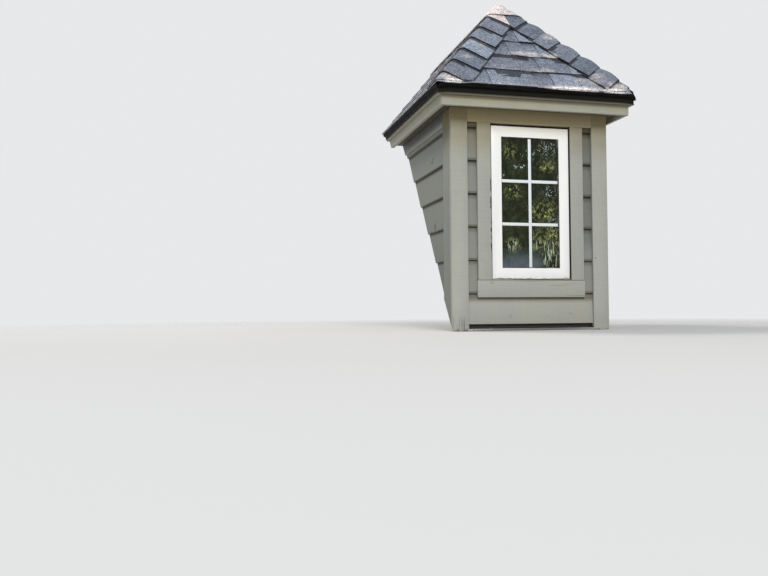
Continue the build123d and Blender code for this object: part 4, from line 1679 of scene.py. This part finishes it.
def tinted_bmesh() -> BMesh:
    """New bmesh with the tint layer."""
    bm = bmesh.new()
    bm.loops.layers.float_color.new(TINT)
    return bm


def tint_faces(
    bm: BMesh,
    faces: Iterable[BMFace],
    tint: Callable[[Vector], Colour],
    below: Callable[[Vector], float] = lambda point: 0.0,
) -> None:
    """Write a colour to the corners of faces, and their place in the course as its alpha.

    Args:
        bm: The bmesh, which has the tint layer.
        faces: The faces to colour.
        tint: Gives the colour at a point.
        below: Gives the share of the exposure that lies below a point.
    """
    layer = bm.loops.layers.float_color[TINT]
    for face in faces:
        for loop in face.loops:
            loop[layer] = (*tint(loop.vert.co), below(loop.vert.co))


def tint_cuts(bm: BMesh, colour: Colour) -> None:
    """Colour the faces that closed the cuts, which have no tint yet."""
    layer = bm.loops.layers.float_color[TINT]
    tint_faces(bm, [face for face in bm.faces if max(face.loops[0][layer]) == 0.0], lambda point: colour)


def rim_faces(faces: Iterable[BMFace], outward: Vector, most: float) -> list[BMFace]:
    """The faces whose normals are nearly square to a direction, up to a cosine.

    Args:
        faces: Faces of a sheet.
        outward: The direction.
        most: The cosine.

    Returns:
        The faces of the sheet's rim.
    """
    rim = []
    for face in faces:
        face.normal_update()
        if abs(face.normal.dot(outward)) < most:
            rim.append(face)
    return rim


def pressed(slope: Slope, along: float, up: float) -> float:
    """How far the courses are pressed down where hip and ridge caps cover them.

    Args:
        slope: The slope that the courses lie on.
        along: Place along the eave.
        up: Distance up the slope.

    Returns:
        The share of their height that is left, from 0.45 to 1.
    """
    covered = 0.145
    ease = 0.022
    run = up * ROOF_COS
    on_front = slope is Slope.FRONT
    from_corner = NOSE_X - abs(along) if on_front else along - NOSE_Y
    from_hip = (from_corner - run) / math.hypot(1.0, ROOF_COS)
    from_ridge = 1.0 if on_front else (NOSE_X - run) / ROOF_COS
    return min(1.0, max(0.45, 1.0 + (min(from_hip, from_ridge) - covered) / ease))


@dataclass(frozen=True)
class Shingle:
    """One length of the base layer, or one raised tab on it."""

    slope: Slope
    low: float
    high: float
    start: float
    exposure: float
    raised: bool
    colour: Colour
    leans: tuple[float, float]
    wave: tuple[float, ...]
    lift: float
    # Whether its butt is paler, with painted sunlight and faded granules.
    sunlit_and_bleached: bool
    pale: Colour
    base_butt: float = 0.0058
    base_head: float = 0.0022
    tab_height: float = 0.0031
    base_lap: float = 0.012
    tab_lap: float = 0.004
    head_height: float = 0.0048

    @property
    def on_eave(self) -> bool:
        """Whether it belongs to the lowest course."""
        return self.start < 0.0

    def butt_rise(self, across: float) -> float:
        """Rise of the butt at a share along it. On the eave it is straight."""
        if self.on_eave:
            return 0.0
        spot = across * (len(self.wave) - 1)
        cell = min(int(spot), len(self.wave) - 2)
        return self.wave[cell] + (self.wave[cell + 1] - self.wave[cell]) * (spot - cell)

    def bottom_and_top(self, up: float) -> tuple[float, float]:
        """Heights of the two sides above the deck, at a distance up the slope."""
        share = min((up - self.start) / self.exposure, 1.0)
        base = self.base_butt + (self.base_head - self.base_butt) * share
        return (base - 0.0008, base + self.tab_height) if self.raised else (0.0006, base)

    def point(self, point: Vector) -> Vector:
        """Place of a point of the unit slab on this shingle.

        Args:
            point: A point of the unit slab.

        Returns:
            Its place on the roof.
        """
        left = self.low + self.leans[0] * point.y
        right = self.high + self.leans[1] * point.y
        along = left + point.x * (right - left)
        up = self.start + point.y * (self.exposure + (self.tab_lap if self.raised else self.base_lap))
        if point.y < 0.01:
            up += self.butt_rise(point.x)
        bottom, top = self.bottom_and_top(up)
        above = bottom + (top - bottom) * point.z + self.lift * (1.0 - point.y)
        if point.y > 0.99:
            above = min(above, self.head_height)
        return slope_point(self.slope, along, up, above * pressed(self.slope, along, up))

    def below(self, point: Vector) -> float:
        """Share of the exposure that lies below a point."""
        return ((point.z - EAVE_Z) / ROOF_SIN - self.start) / self.exposure

    def tint(self, point: Vector) -> Colour:
        """Colour at a point: darker high up in a notch, paler on the eave and on some butts, with painted
        sunlight and faded granules.

        Args:
            point: A point of the shingle.

        Returns:
            The colour there.
        """
        below = self.below(point)
        gain = 1.0 if self.raised else 0.88 - max(0.0, below - 0.55)
        colour = scaled(self.colour, gain)
        if below >= 0.16:
            return colour
        if self.on_eave:
            return blended(colour, self.pale, 0.16)
        return blended(colour, self.pale, 0.12) if self.sunlit_and_bleached and self.raised else colour


@dataclass
class ShingledSlope:
    """Courses of laminated shingles on one slope: a base layer and raised tabs on it."""

    slope: Slope
    along_low: float
    along_high: float
    seed: int
    exposure: float = SHINGLE_EXPOSURE
    blend: Blend = field(default_factory=Blend)
    short_corner: float = 0.034
    base_lengths: tuple[float, float] = (0.11, 0.26)
    tab_widths: tuple[float, float] = (0.085, 0.185)
    notch_widths: tuple[float, float] = (0.050, 0.120)
    notch_share: float = 0.62
    joint: float = 0.0015
    lean: float = 0.007
    waviness: float = 0.0014
    lift: float = 0.0008
    # Share of tabs whose butt is paler, with painted sunlight and faded granules.
    sunlit_and_bleached_share: float = 0.3

    def lay(
        self,
        bm: BMesh,
        slab: Mesh,
        low: float,
        high: float,
        start: float,
        raised: bool,
        rng: random.Random,
    ) -> None:
        """Add one length of the base layer, or one raised tab.

        Args:
            bm: The bmesh to add to.
            slab: The slab that is bent to shape.
            low: Where it starts along the eave.
            high: Where it ends.
            start: Distance of its lower edge up the slope.
            raised: Whether it is a tab on the base layer.
            rng: Source of the small differences.
        """
        lean = self.lean if raised else 0.0
        shingle = Shingle(
            slope=self.slope,
            low=low,
            high=high,
            start=start,
            exposure=self.exposure,
            raised=raised,
            colour=self.blend.draw(rng),
            leans=(rng.uniform(-lean, lean), rng.uniform(-lean, lean)) if raised else (0.0, 0.0),
            wave=tuple(rng.uniform(-self.waviness, self.waviness) for _ in range(8)),
            lift=rng.uniform(0.0, self.lift) if raised else 0.0,
            sunlit_and_bleached=rng.random() < self.sunlit_and_bleached_share,
            pale=self.blend.pale,
        )
        faces = paste(bm, slab, shingle.point)
        tint_faces(bm, faces, shingle.tint, shingle.below)
        outward = slope_point(self.slope, 0.0, 0.0, 1.0) - slope_point(self.slope, 0.0, 0.0, 0.0)
        # Rims take painted shade; on the left slope they take painted sunlight with abraded granules.
        edge = self.blend.sunlit_worn_edge if self.slope is Slope.LEFT else self.blend.edge
        tint_faces(bm, rim_faces(faces, outward, 0.5), lambda point: edge)

    def build(self) -> BMesh:
        """Lay the courses and cut them to the slope.

        Returns:
            The slope's bmesh, with its tint layer.
        """
        rng = random.Random(self.seed)
        bm = tinted_bmesh()
        tab = unit_slab(5, 2)
        base = unit_slab(5, 5)
        start = -SHINGLE_OVERHANG / ROOF_COS
        while start < NOSE_X / ROOF_COS:
            spot = self.along_low - rng.uniform(0.0, 0.08)
            while spot < self.along_high:
                length = rng.uniform(*self.base_lengths)
                self.lay(bm, base, spot, spot + length, start, False, rng)
                spot += length
            spot = self.along_low - rng.uniform(0.0, 0.1)
            while spot < self.along_high:
                width = rng.uniform(*self.tab_widths)
                self.lay(bm, tab, spot, spot + width, start, True, rng)
                notched = rng.random() < self.notch_share
                spot += width + (rng.uniform(*self.notch_widths) if notched else self.joint)
            start += self.exposure
        bmesh.ops.recalc_face_normals(bm, faces=bm.faces)
        self.trim(bm)
        tint_cuts(bm, self.blend.cut_edge)
        return bm

    def trim(self, bm: BMesh) -> None:
        """Cut the courses at the hips, the ridge and the main roof.

        Args:
            bm: The courses.
        """
        if self.slope is Slope.FRONT:
            cut(bm, (NOSE_X, NOSE_Y, 0.0), (1.0, 1.0, 0.0))
            cut(bm, (-NOSE_X, NOSE_Y, 0.0), (-1.0, 1.0, 0.0))
            cut(bm, (NOSE_X - self.short_corner, 0.0, 0.0), (1.0, 0.0, 0.0))
            return
        sign = self.slope.value
        cut(bm, (sign * NOSE_X, NOSE_Y, 0.0), (-sign, -1.0, 0.0))
        cut(bm, (sign * 0.0015, 0.0, 0.0), (-sign, 0.0, 0.0))
        if self.slope is Slope.RIGHT:
            cut(bm, (0.0, NOSE_Y + self.short_corner, 0.0), (0.0, -1.0, 0.0))
        cut_to_main_roof(bm)


class CapSheet(Protocol):
    """What a cap shingle says of its shape and its tints.

    Fields:
        outward: Direction that its outer face looks in.
        edge: Tint of its rim, a painted shade, where the rim isn't painted sunlit and abraded.
        shadow_lined_side: Direction of the side edge with a painted shadow line along its outer face, if it
            has one.
    """

    outward: Vector
    edge: Colour
    shadow_lined_side: Vector | None

    def point(self, share: float, side: float) -> Vector:
        """Point of the outer face, at a share along from the butt and a share across."""

    def below(self, point: Vector) -> float:
        """Share of the exposure that lies below a point."""

    def tint(self, point: Vector) -> Colour:
        """Tint of the granules at a point."""


class HipLine:
    """Directions at one hip, where the front slope meets a side slope."""

    def __init__(self, sign: float, fold: float) -> None:
        """Set out the hip.

        Args:
            sign: -1 for the left hip, 1 for the right.
            fold: Radius of the fold of a cap's outer face.
        """
        front = Vector((0.0, -ROOF_SIN, ROOF_COS))
        side = Vector((sign * ROOF_SIN, 0.0, ROOF_COS))
        self.fold = fold
        self.foot = Vector((sign * NOSE_X, NOSE_Y, EAVE_Z))
        self.length = (Vector((0.0, APEX_Y, APEX_Z)) - self.foot).length
        self.along = Vector((-sign, 1.0, PITCH)).normalized()
        self.outward = (front + side).normalized()
        self.across = self.along.cross(self.outward).normalized() * -sign
        self.half_angle = math.acos(front.dot(side)) / 2

    def point(self, width: float, up: float, above: float) -> Vector:
        """Point of a sheet that is folded over the hip.

        Args:
            width: Distance from the middle towards the front slope, measured on the sheet.
            up: Distance up the hip.
            above: Height of the sheet's outer face above the slopes.

        Returns:
            The point.
        """
        half = self.half_angle
        arc = self.fold * half
        turn = max(-half, min(half, width / self.fold))
        rest = max(0.0, abs(width) - arc)
        cross = self.fold * math.sin(turn) + math.copysign(rest * math.cos(half), width)
        out = (above - self.fold) / math.cos(half) + self.fold * math.cos(turn) - rest * math.sin(half)
        return self.foot + self.along * up + self.across * cross + self.outward * out


@dataclass(frozen=True)
class HipCap:
    """One cap shingle that is folded over a hip."""

    line: HipLine
    start: float
    wing: float
    front_flare: float
    skew: float
    droop: float
    curl: float
    bow: float
    colour: Colour
    edge: Colour
    reach: float = SHINGLE_EXPOSURE + 0.034
    butt_above: float = 0.0165
    head_above: float = 0.0078
    shadow_from: float = 0.975

    @property
    def outward(self) -> Vector:
        """Outward direction of the fold."""
        return self.line.outward

    @property
    def shadow_lined_side(self) -> Vector:
        """The front wing's side."""
        return self.line.across

    def point(self, share: float, side: float) -> Vector:
        """Point of the outer face, at a share along from the butt and a share across.

        Args:
            share: Share of the length, from the butt.
            side: Share of the width.

        Returns:
            The point of the outer face.
        """
        turn = side * 2.0 - 1.0
        butt = 1.0 - share
        width = turn * (self.wing + (self.front_flare if turn > 0.0 else 0.0))
        up = self.start + share * self.reach + butt * (self.skew * turn - self.droop * abs(turn) ** 1.4)
        curl = self.curl * butt**2 * turn**4
        bow = self.bow * math.sin(math.pi * min(1.0, share / 0.8)) * max(0.0, 1.0 - turn**2)
        above = self.butt_above + (self.head_above - self.butt_above) * share + curl + bow
        return self.line.point(width, up, above)

    def below(self, point: Vector) -> float:
        """Share of the exposure that lies below a point, the butt's droop taken off."""
        place = point - self.line.foot
        turn = min(1.0, abs(place.dot(self.line.across)) / (self.wing * math.cos(self.line.half_angle)))
        up = place.dot(self.line.along) - self.start + self.droop * turn**1.4
        return up / SHINGLE_EXPOSURE * self.shadow_from

    def tint(self, point: Vector) -> Colour:
        """Tint of the granules, the same everywhere."""
        return self.colour


@dataclass(frozen=True)
class RidgeCap:
    """One cap shingle that is draped over the ridge, or the longer sheet over the apex."""

    front: float
    half_width: float
    butt_above: float
    bow: float
    skew: float
    colour: Colour
    edge: Colour
    rear: Colour
    reach: float = SHINGLE_EXPOSURE + 0.034
    over_apex: bool = False
    soft: float = 0.015
    outward: Vector = field(default_factory=lambda: Vector((0.0, 0.0, 1.0)))
    shadow_lined_side: Vector | None = None

    def point(self, share: float, side: float) -> Vector:
        """Point of the outer face, at a share along from the butt and a share across.

        Args:
            share: Share of the length, from the butt.
            side: Share of the width.

        Returns:
            The point of the outer face.
        """
        turn = side * 2.0 - 1.0
        x = turn * self.half_width
        y = self.front + share * self.reach + (1.0 - share) * (self.skew * turn + self.bow * turn**2)
        above = self.butt_above - 0.0080 * share
        runs = (y - NOSE_Y, NOSE_X + x, NOSE_X - x)
        heights = [EAVE_Z + run * PITCH for run in runs]
        lowest = min(heights)
        total = sum(math.exp((lowest - height) / self.soft) for height in heights)
        return Vector((x, y, lowest - self.soft * math.log(total) + above / ROOF_COS))

    def below(self, point: Vector) -> float:
        """Share of the exposure that lies below a point. Nothing covers the sheet over the apex."""
        return 0.0 if self.over_apex else (point.y - self.front) / SHINGLE_EXPOSURE

    def tint(self, point: Vector) -> Colour:
        """Tint of the granules, which on the sheet over the apex is pale with painted sunlight and turns
        slate behind it.
        """
        behind = held((point.y - APEX_Y + 0.02) / 0.07) if self.over_apex else 0.0
        return blended(self.colour, self.rear, behind)


@dataclass
class Caps:
    """Folded cap shingles over the hips and the ridge.

    Fields:
        seed: Seed of the small differences.
        blend: The granules' colours.
        wing: Width of a cap on each side of its fold.
        flare: What the front wings are wider by at the eave.
        right_flare: Share of the flare that the right hip's caps have.
        droop: How far the tips of a butt hang below its middle.
        fold: Radius of the fold over a hip.
        sheet: Thickness of a cap.
        bow: How far the middle of the right hip's caps stands off.
        flat_below: Distance up the right hip up to which its caps lie flat.
        flat_above: Distance up a hip from which its caps lie flat.
        first_butts: Distance up the left and the right hip where the first butt is.
        left_exposures, right_exposures: Exposures of a hip's caps from the eave up. The last one goes on.
        left_tones, right_tones: Places in the blend of the caps' colours, in the same way.
        pale_from: Distance up the left hip from which its caps are pale, with painted sunlight.
        shadow_line_width: Width of the painted shadow line along a front wing's side, as a share of a grid
            cell.
        apex_gap: How far in front of the apex the hips' caps end, under the sheet over it.
        apex_sheet: Overhang in front of the apex, half width, height and length of that sheet.
        short_corner: How far from the corner the right hip's first cap is cut off.
    """

    seed: int = 41
    blend: Blend = field(default_factory=Blend)
    wing: float = 0.142
    flare: float = 0.030
    right_flare: float = 0.35
    droop: float = 0.024
    fold: float = 0.022
    sheet: float = 0.0040
    bow: float = 0.009
    flat_below: float = 0.05
    flat_above: float = 0.75
    first_butts: tuple[float, float] = (-0.050, -0.004)
    left_exposures: tuple[float, ...] = (0.1460,)
    right_exposures: tuple[float, ...] = (0.1345, 0.1345, 0.1395, 0.1445, 0.1085, 0.1445)
    left_tones: tuple[int, ...] = (5, 3, 4, 2, 1, 3, 0)
    right_tones: tuple[int, ...] = (5, 3, 4, 3, 0, 4, 4)
    pale_from: float = 0.80
    shadow_line_width: float = 0.45
    apex_gap: float = 0.070
    apex_sheet: Oval = (0.108, 0.142, 0.0235, 0.24)
    short_corner: float = 0.030

    def lay(self, bm: BMesh, cap: CapSheet) -> None:
        """Add one bent sheet with its thickness and its tints.

        Args:
            bm: The bmesh to add to.
            cap: The cap's shape and tints.
        """
        piece = bmesh.new()
        bmesh.ops.create_grid(piece, x_segments=6, y_segments=18, size=0.5)
        for vert in piece.verts:
            side = vert.co.y + 0.5
            if cap.shadow_lined_side is not None and side > 0.9:
                side = 1.0 - (1.0 - side) * self.shadow_line_width
            vert.co = cap.point(vert.co.x + 0.5, side)
        for face in piece.faces:
            face.normal_update()
        if sum(face.normal.dot(cap.outward) for face in piece.faces) < 0.0:
            bmesh.ops.reverse_faces(piece, faces=piece.faces)
        bmesh.ops.solidify(piece, geom=piece.faces[:], thickness=self.sheet)
        bmesh.ops.recalc_face_normals(piece, faces=piece.faces)
        faces = paste(bm, baked(piece, "cap"), lambda point: point)
        tint_faces(bm, faces, cap.tint, cap.below)

        def rim_tint(point: Vector) -> Colour:
            """Tint of the rim at a point: painted sunlight with abraded granules on the left slope, painted
            shade elsewhere.
            """
            return self.blend.sunlit_worn_edge if point.x + NOSE_X < point.y - NOSE_Y else cap.edge

        tint_faces(bm, rim_faces(faces, cap.outward, 0.30), rim_tint)
        if cap.shadow_lined_side is not None:
            self.paint_side_shadow_line(bm, faces, cap)

    def paint_side_shadow_line(self, bm: BMesh, faces: Iterable[BMFace], cap: CapSheet) -> None:
        """Paint the shadow line along a cap's side, in all corners that meet at the side's face."""
        layer = bm.loops.layers.float_color[TINT]
        ends = [f for f in faces if f.normal.dot(cap.shadow_lined_side) > 0.5 and f.normal.dot(cap.outward) < 0.0]
        for loop in [loop for face in ends for vert in face.verts for loop in vert.link_loops]:
            loop[layer] = (*cap.edge, loop[layer][3])

    def hip(self, slope: Slope) -> BMesh:
        """Caps of one hip, laid from the eave to the apex.

        Args:
            slope: The side slope that the hip belongs to.

        Returns:
            The caps' bmesh.
        """
        sign = slope.value
        rng = random.Random(self.seed + int(sign))
        bm = tinted_bmesh()
        line = HipLine(sign, self.fold)
        left = slope is Slope.LEFT
        start = self.first_butts[0 if left else 1]
        exposures = self.left_exposures if left else self.right_exposures
        tones = self.left_tones if left else self.right_tones
        flare = self.flare * (1.0 if left else self.right_flare)
        laid = 0
        while start < line.length:
            flat = left or start < self.flat_below
            cap = HipCap(
                line=line,
                start=start,
                wing=self.wing + rng.uniform(-0.003, 0.002),
                front_flare=flare * max(0.0, 1.0 - start / line.length),
                skew=rng.uniform(-0.006, 0.006),
                droop=self.droop * rng.uniform(0.75, 1.15),
                curl=rng.uniform(0.0, 0.004) if start < self.flat_above else 0.0,
                bow=0.0 if flat else self.bow * held((self.flat_above + 0.01 - start) / 0.1),
                colour=self.blend.near(rng, tones[min(laid, len(tones) - 1)]),
                edge=self.blend.edge,
            )
            # The upper caps of the left hip are pale, with painted sunlight.
            if left and start > self.pale_from:
                cap = replace(cap, colour=self.blend.pale, edge=self.blend.pale_edge)
            self.lay(bm, cap)
            start += exposures[min(laid, len(exposures) - 1)] * rng.uniform(0.985, 1.015)
            laid += 1
        cut(bm, (0.0, NOSE_Y - SHINGLE_OVERHANG, 0.0), (0.0, -1.0, 0.0))
        cut(bm, (sign * (NOSE_X + SHINGLE_OVERHANG), 0.0, 0.0), (sign, 0.0, 0.0))
        cut(bm, (0.0, 0.0, 0.0), (-sign, 0.0, 0.0))
        cut(bm, (0.0, APEX_Y - self.apex_gap, 0.0), (0.0, 1.0, 0.0))
        if not left:
            cut(bm, (NOSE_X - self.short_corner, NOSE_Y + self.short_corner, 0.0), (1.0, -1.0, 0.0))
        tint_cuts(bm, self.blend.cut_edge)
        return bm

    def ridge(self) -> BMesh:
        """Caps of the ridge, laid from the main roof forward, and the sheet turned down over the apex.

        Returns:
            The caps' bmesh.
        """
        rng = random.Random(self.seed + 7)
        bm = tinted_bmesh()
        back = (APEX_Z + 0.04 - ROOFING_LIFT) / MAIN_SLOPE
        back -= back % 0.001
        steps = int((back - APEX_Y - 0.05) / SHINGLE_EXPOSURE)
        overhang, half_width, height, length = self.apex_sheet
        level_wing = self.wing * ROOF_COS
        places = [(back - SHINGLE_EXPOSURE * step, level_wing, 0.0165) for step in range(1, steps + 1)]
        places.append((APEX_Y - overhang, half_width, height))
        # The sheet over the apex is pale in front, with painted sunlight.
        colours = [self.blend.draw(rng) for _ in range(steps)] + [self.blend.pale]
        for place, colour in zip(places, colours):
            bow = rng.uniform(0.004, 0.010)
            skew = rng.uniform(-0.006, 0.006)
            cap = RidgeCap(*place, bow, skew, colour, self.blend.edge, self.blend.slate)
            if colour == self.blend.pale:
                cap = replace(cap, edge=self.blend.pale_edge, reach=length, over_apex=True)
            self.lay(bm, cap)
        cut_to_main_roof(bm)
        return bm

    def build(self, granules: Material) -> None:
        """Make the two hips' caps and the ridge's."""
        shapes = {"left_hip": self.hip(Slope.LEFT), "right_hip": self.hip(Slope.RIGHT), "ridge": self.ridge()}
        for name, bm in shapes.items():
            finish_piece(f"{name}_cap_shingles", bm, [granules], f"{name}_cap", "asphalt_shingles")


@dataclass
class Roofing:
    """Shingles of the three slopes, and the caps over them."""

    back_y: float = 1.55
    waste: float = 0.01
    front_exposure: float = 0.150

    def build(self) -> None:
        """Make the roofing."""
        granules = Granules().material()
        reach = NOSE_X + self.waste
        front = ShingledSlope(Slope.FRONT, -reach, reach, 5, exposure=self.front_exposure).build()
        finish_piece("front_shingles_laid", front, [granules], "front_shingles", "asphalt_shingles")
        low = NOSE_Y - self.waste
        sides = ShingledSlope(Slope.LEFT, low, self.back_y, 12).build()
        absorb(sides, ShingledSlope(Slope.RIGHT, low, self.back_y, 23).build())
        finish_piece("side_shingles_laid", sides, [granules], "side_shingles", "asphalt_shingles")
        Caps().build(granules)


# Studio


@dataclass(frozen=True)
class Lamp:
    """Square soft lamp: its place, the point that it faces, its side's length, its watts and its colour."""

    at: Triple
    target: Triple
    size: float
    power: float
    colour: Colour

    def light(self, name: str) -> None:
        """Hang the lamp."""
        data = bpy.data.lights.new(name, "AREA")
        data.size = self.size
        data.energy = self.power
        data.color = self.colour
        lamp = put_in_scene(name, data)
        lamp.location = self.at
        lamp.rotation_euler = (Vector(self.target) - Vector(self.at)).to_track_quat("-Z", "Y").to_euler()


@dataclass
class Studio:
    """Pale floor, soft lamps and the camera."""

    pale: Colour = (0.80, 0.81, 0.82)
    ambient: Colour = (0.93, 0.97, 1.0)
    ambient_strength: float = 0.48
    ground: Colour = (0.56, 0.56, 0.56)
    floor_middle: float = 0.3
    floor_radius: float = 14.0
    fade_radii: tuple[float, float] = (1.2, 5.5)
    lamps: dict[str, Lamp] = field(
        default_factory=lambda: {
            "front_key": Lamp((-2.8, -13.5, 11.0), (0.0, 0.0, 0.6), 7.0, 2220.0, (1.0, 0.985, 0.955)),
            "left_rim": Lamp((-2.6, 2.2, 5.2), (0.0, 0.3, 1.0), 1.4, 190.0, (1.0, 0.95, 0.88)),
        }
    )
    camera_at: Triple = (-1.6823, -3.7457, 0.0316)
    yaw: float = 0.2349
    pitch: float = 0.0298
    roll: float = -0.0071
    lens: float = 35.17
    sensor: float = 36.0

    def floor(self) -> None:
        """Round pale floor under the dormer's foot."""
        bm = bmesh.new()
        place = Matrix.Translation((0.0, self.floor_middle, cad_box[0].z - 0.0005))
        bmesh.ops.create_circle(bm, cap_ends=True, segments=96, radius=self.floor_radius, matrix=place)
        mesh = baked(bm, "floor")
        g = Graph("pale_floor")
        clouds = g.noise(0.8)
        g.surface(g.mix(g.span(clouds, 0.3, 0.7), self.ground, scaled(self.ground, 0.985)), 0.9, specular=0.1)
        g.feed(g.shader.inputs["Alpha"], g.fade(g.radius(g.x, g.y), *self.fade_radii))
        mesh.materials.append(g.material)
        floor = put_in_scene("floor", mesh)

    def backdrop(self) -> None:
        """World that lights softly and is pale where it is seen."""
        world = bpy.data.worlds.new("studio")
        bpy.context.scene.world = world
        world.use_nodes = True
        world.node_tree.nodes.clear()
        w = Wiring(world.node_tree)
        path = w.node("ShaderNodeLightPath", {})
        shown = path.outputs["Is Camera Ray"]
        for kind in ("Is Transmission Ray", "Is Glossy Ray"):
            shown = w.math("MAXIMUM", shown, path.outputs[kind])
        seen = w.node("ShaderNodeBackground", {"Color": self.pale})
        light = w.node("ShaderNodeBackground", {"Color": self.ambient, "Strength": self.ambient_strength})
        mixer = w.node("ShaderNodeMixShader", {0: shown, 1: light.outputs[0], 2: seen.outputs[0]})
        w.node("ShaderNodeOutputWorld", {"Surface": mixer.outputs[0]})

    def camera(self) -> None:
        """Camera at the photograph's viewing angle."""
        level = math.cos(self.pitch)
        forward = Vector((math.sin(self.yaw) * level, math.cos(self.yaw) * level, math.sin(self.pitch)))
        right = Vector((math.cos(self.yaw), -math.sin(self.yaw), 0.0))
        up = right.cross(forward)
        turned_right = right * math.cos(self.roll) + up * math.sin(self.roll)
        turned_up = up * math.cos(self.roll) - right * math.sin(self.roll)
        data = bpy.data.cameras.new("camera")
        data.sensor_width = self.sensor
        data.lens = self.lens
        data.clip_end = 100.0
        camera = put_in_scene("camera", data)
        turn = Matrix((turned_right, turned_up, -forward)).transposed().to_4x4()
        camera.matrix_world = Matrix.Translation(self.camera_at) @ turn
        bpy.context.scene.camera = camera

    def build(self) -> None:
        """Set up the whole studio."""
        self.floor()
        self.backdrop()
        for name, lamp in self.lamps.items():
            lamp.light(name)
        self.camera()
        bpy.context.scene.view_settings.view_transform = "Standard"


def main() -> None:
    """Build the dormer's looks in order."""
    logging.basicConfig(level=logging.INFO, format="%(name)s: %(message)s")
    Studio().build()
    Carcass().dress()
    Trim().build()
    LapSiding().build()
    DripEdge().build()
    WindowUnit().build()
    Roofing().build()


if __name__ == "__main__":
    main()
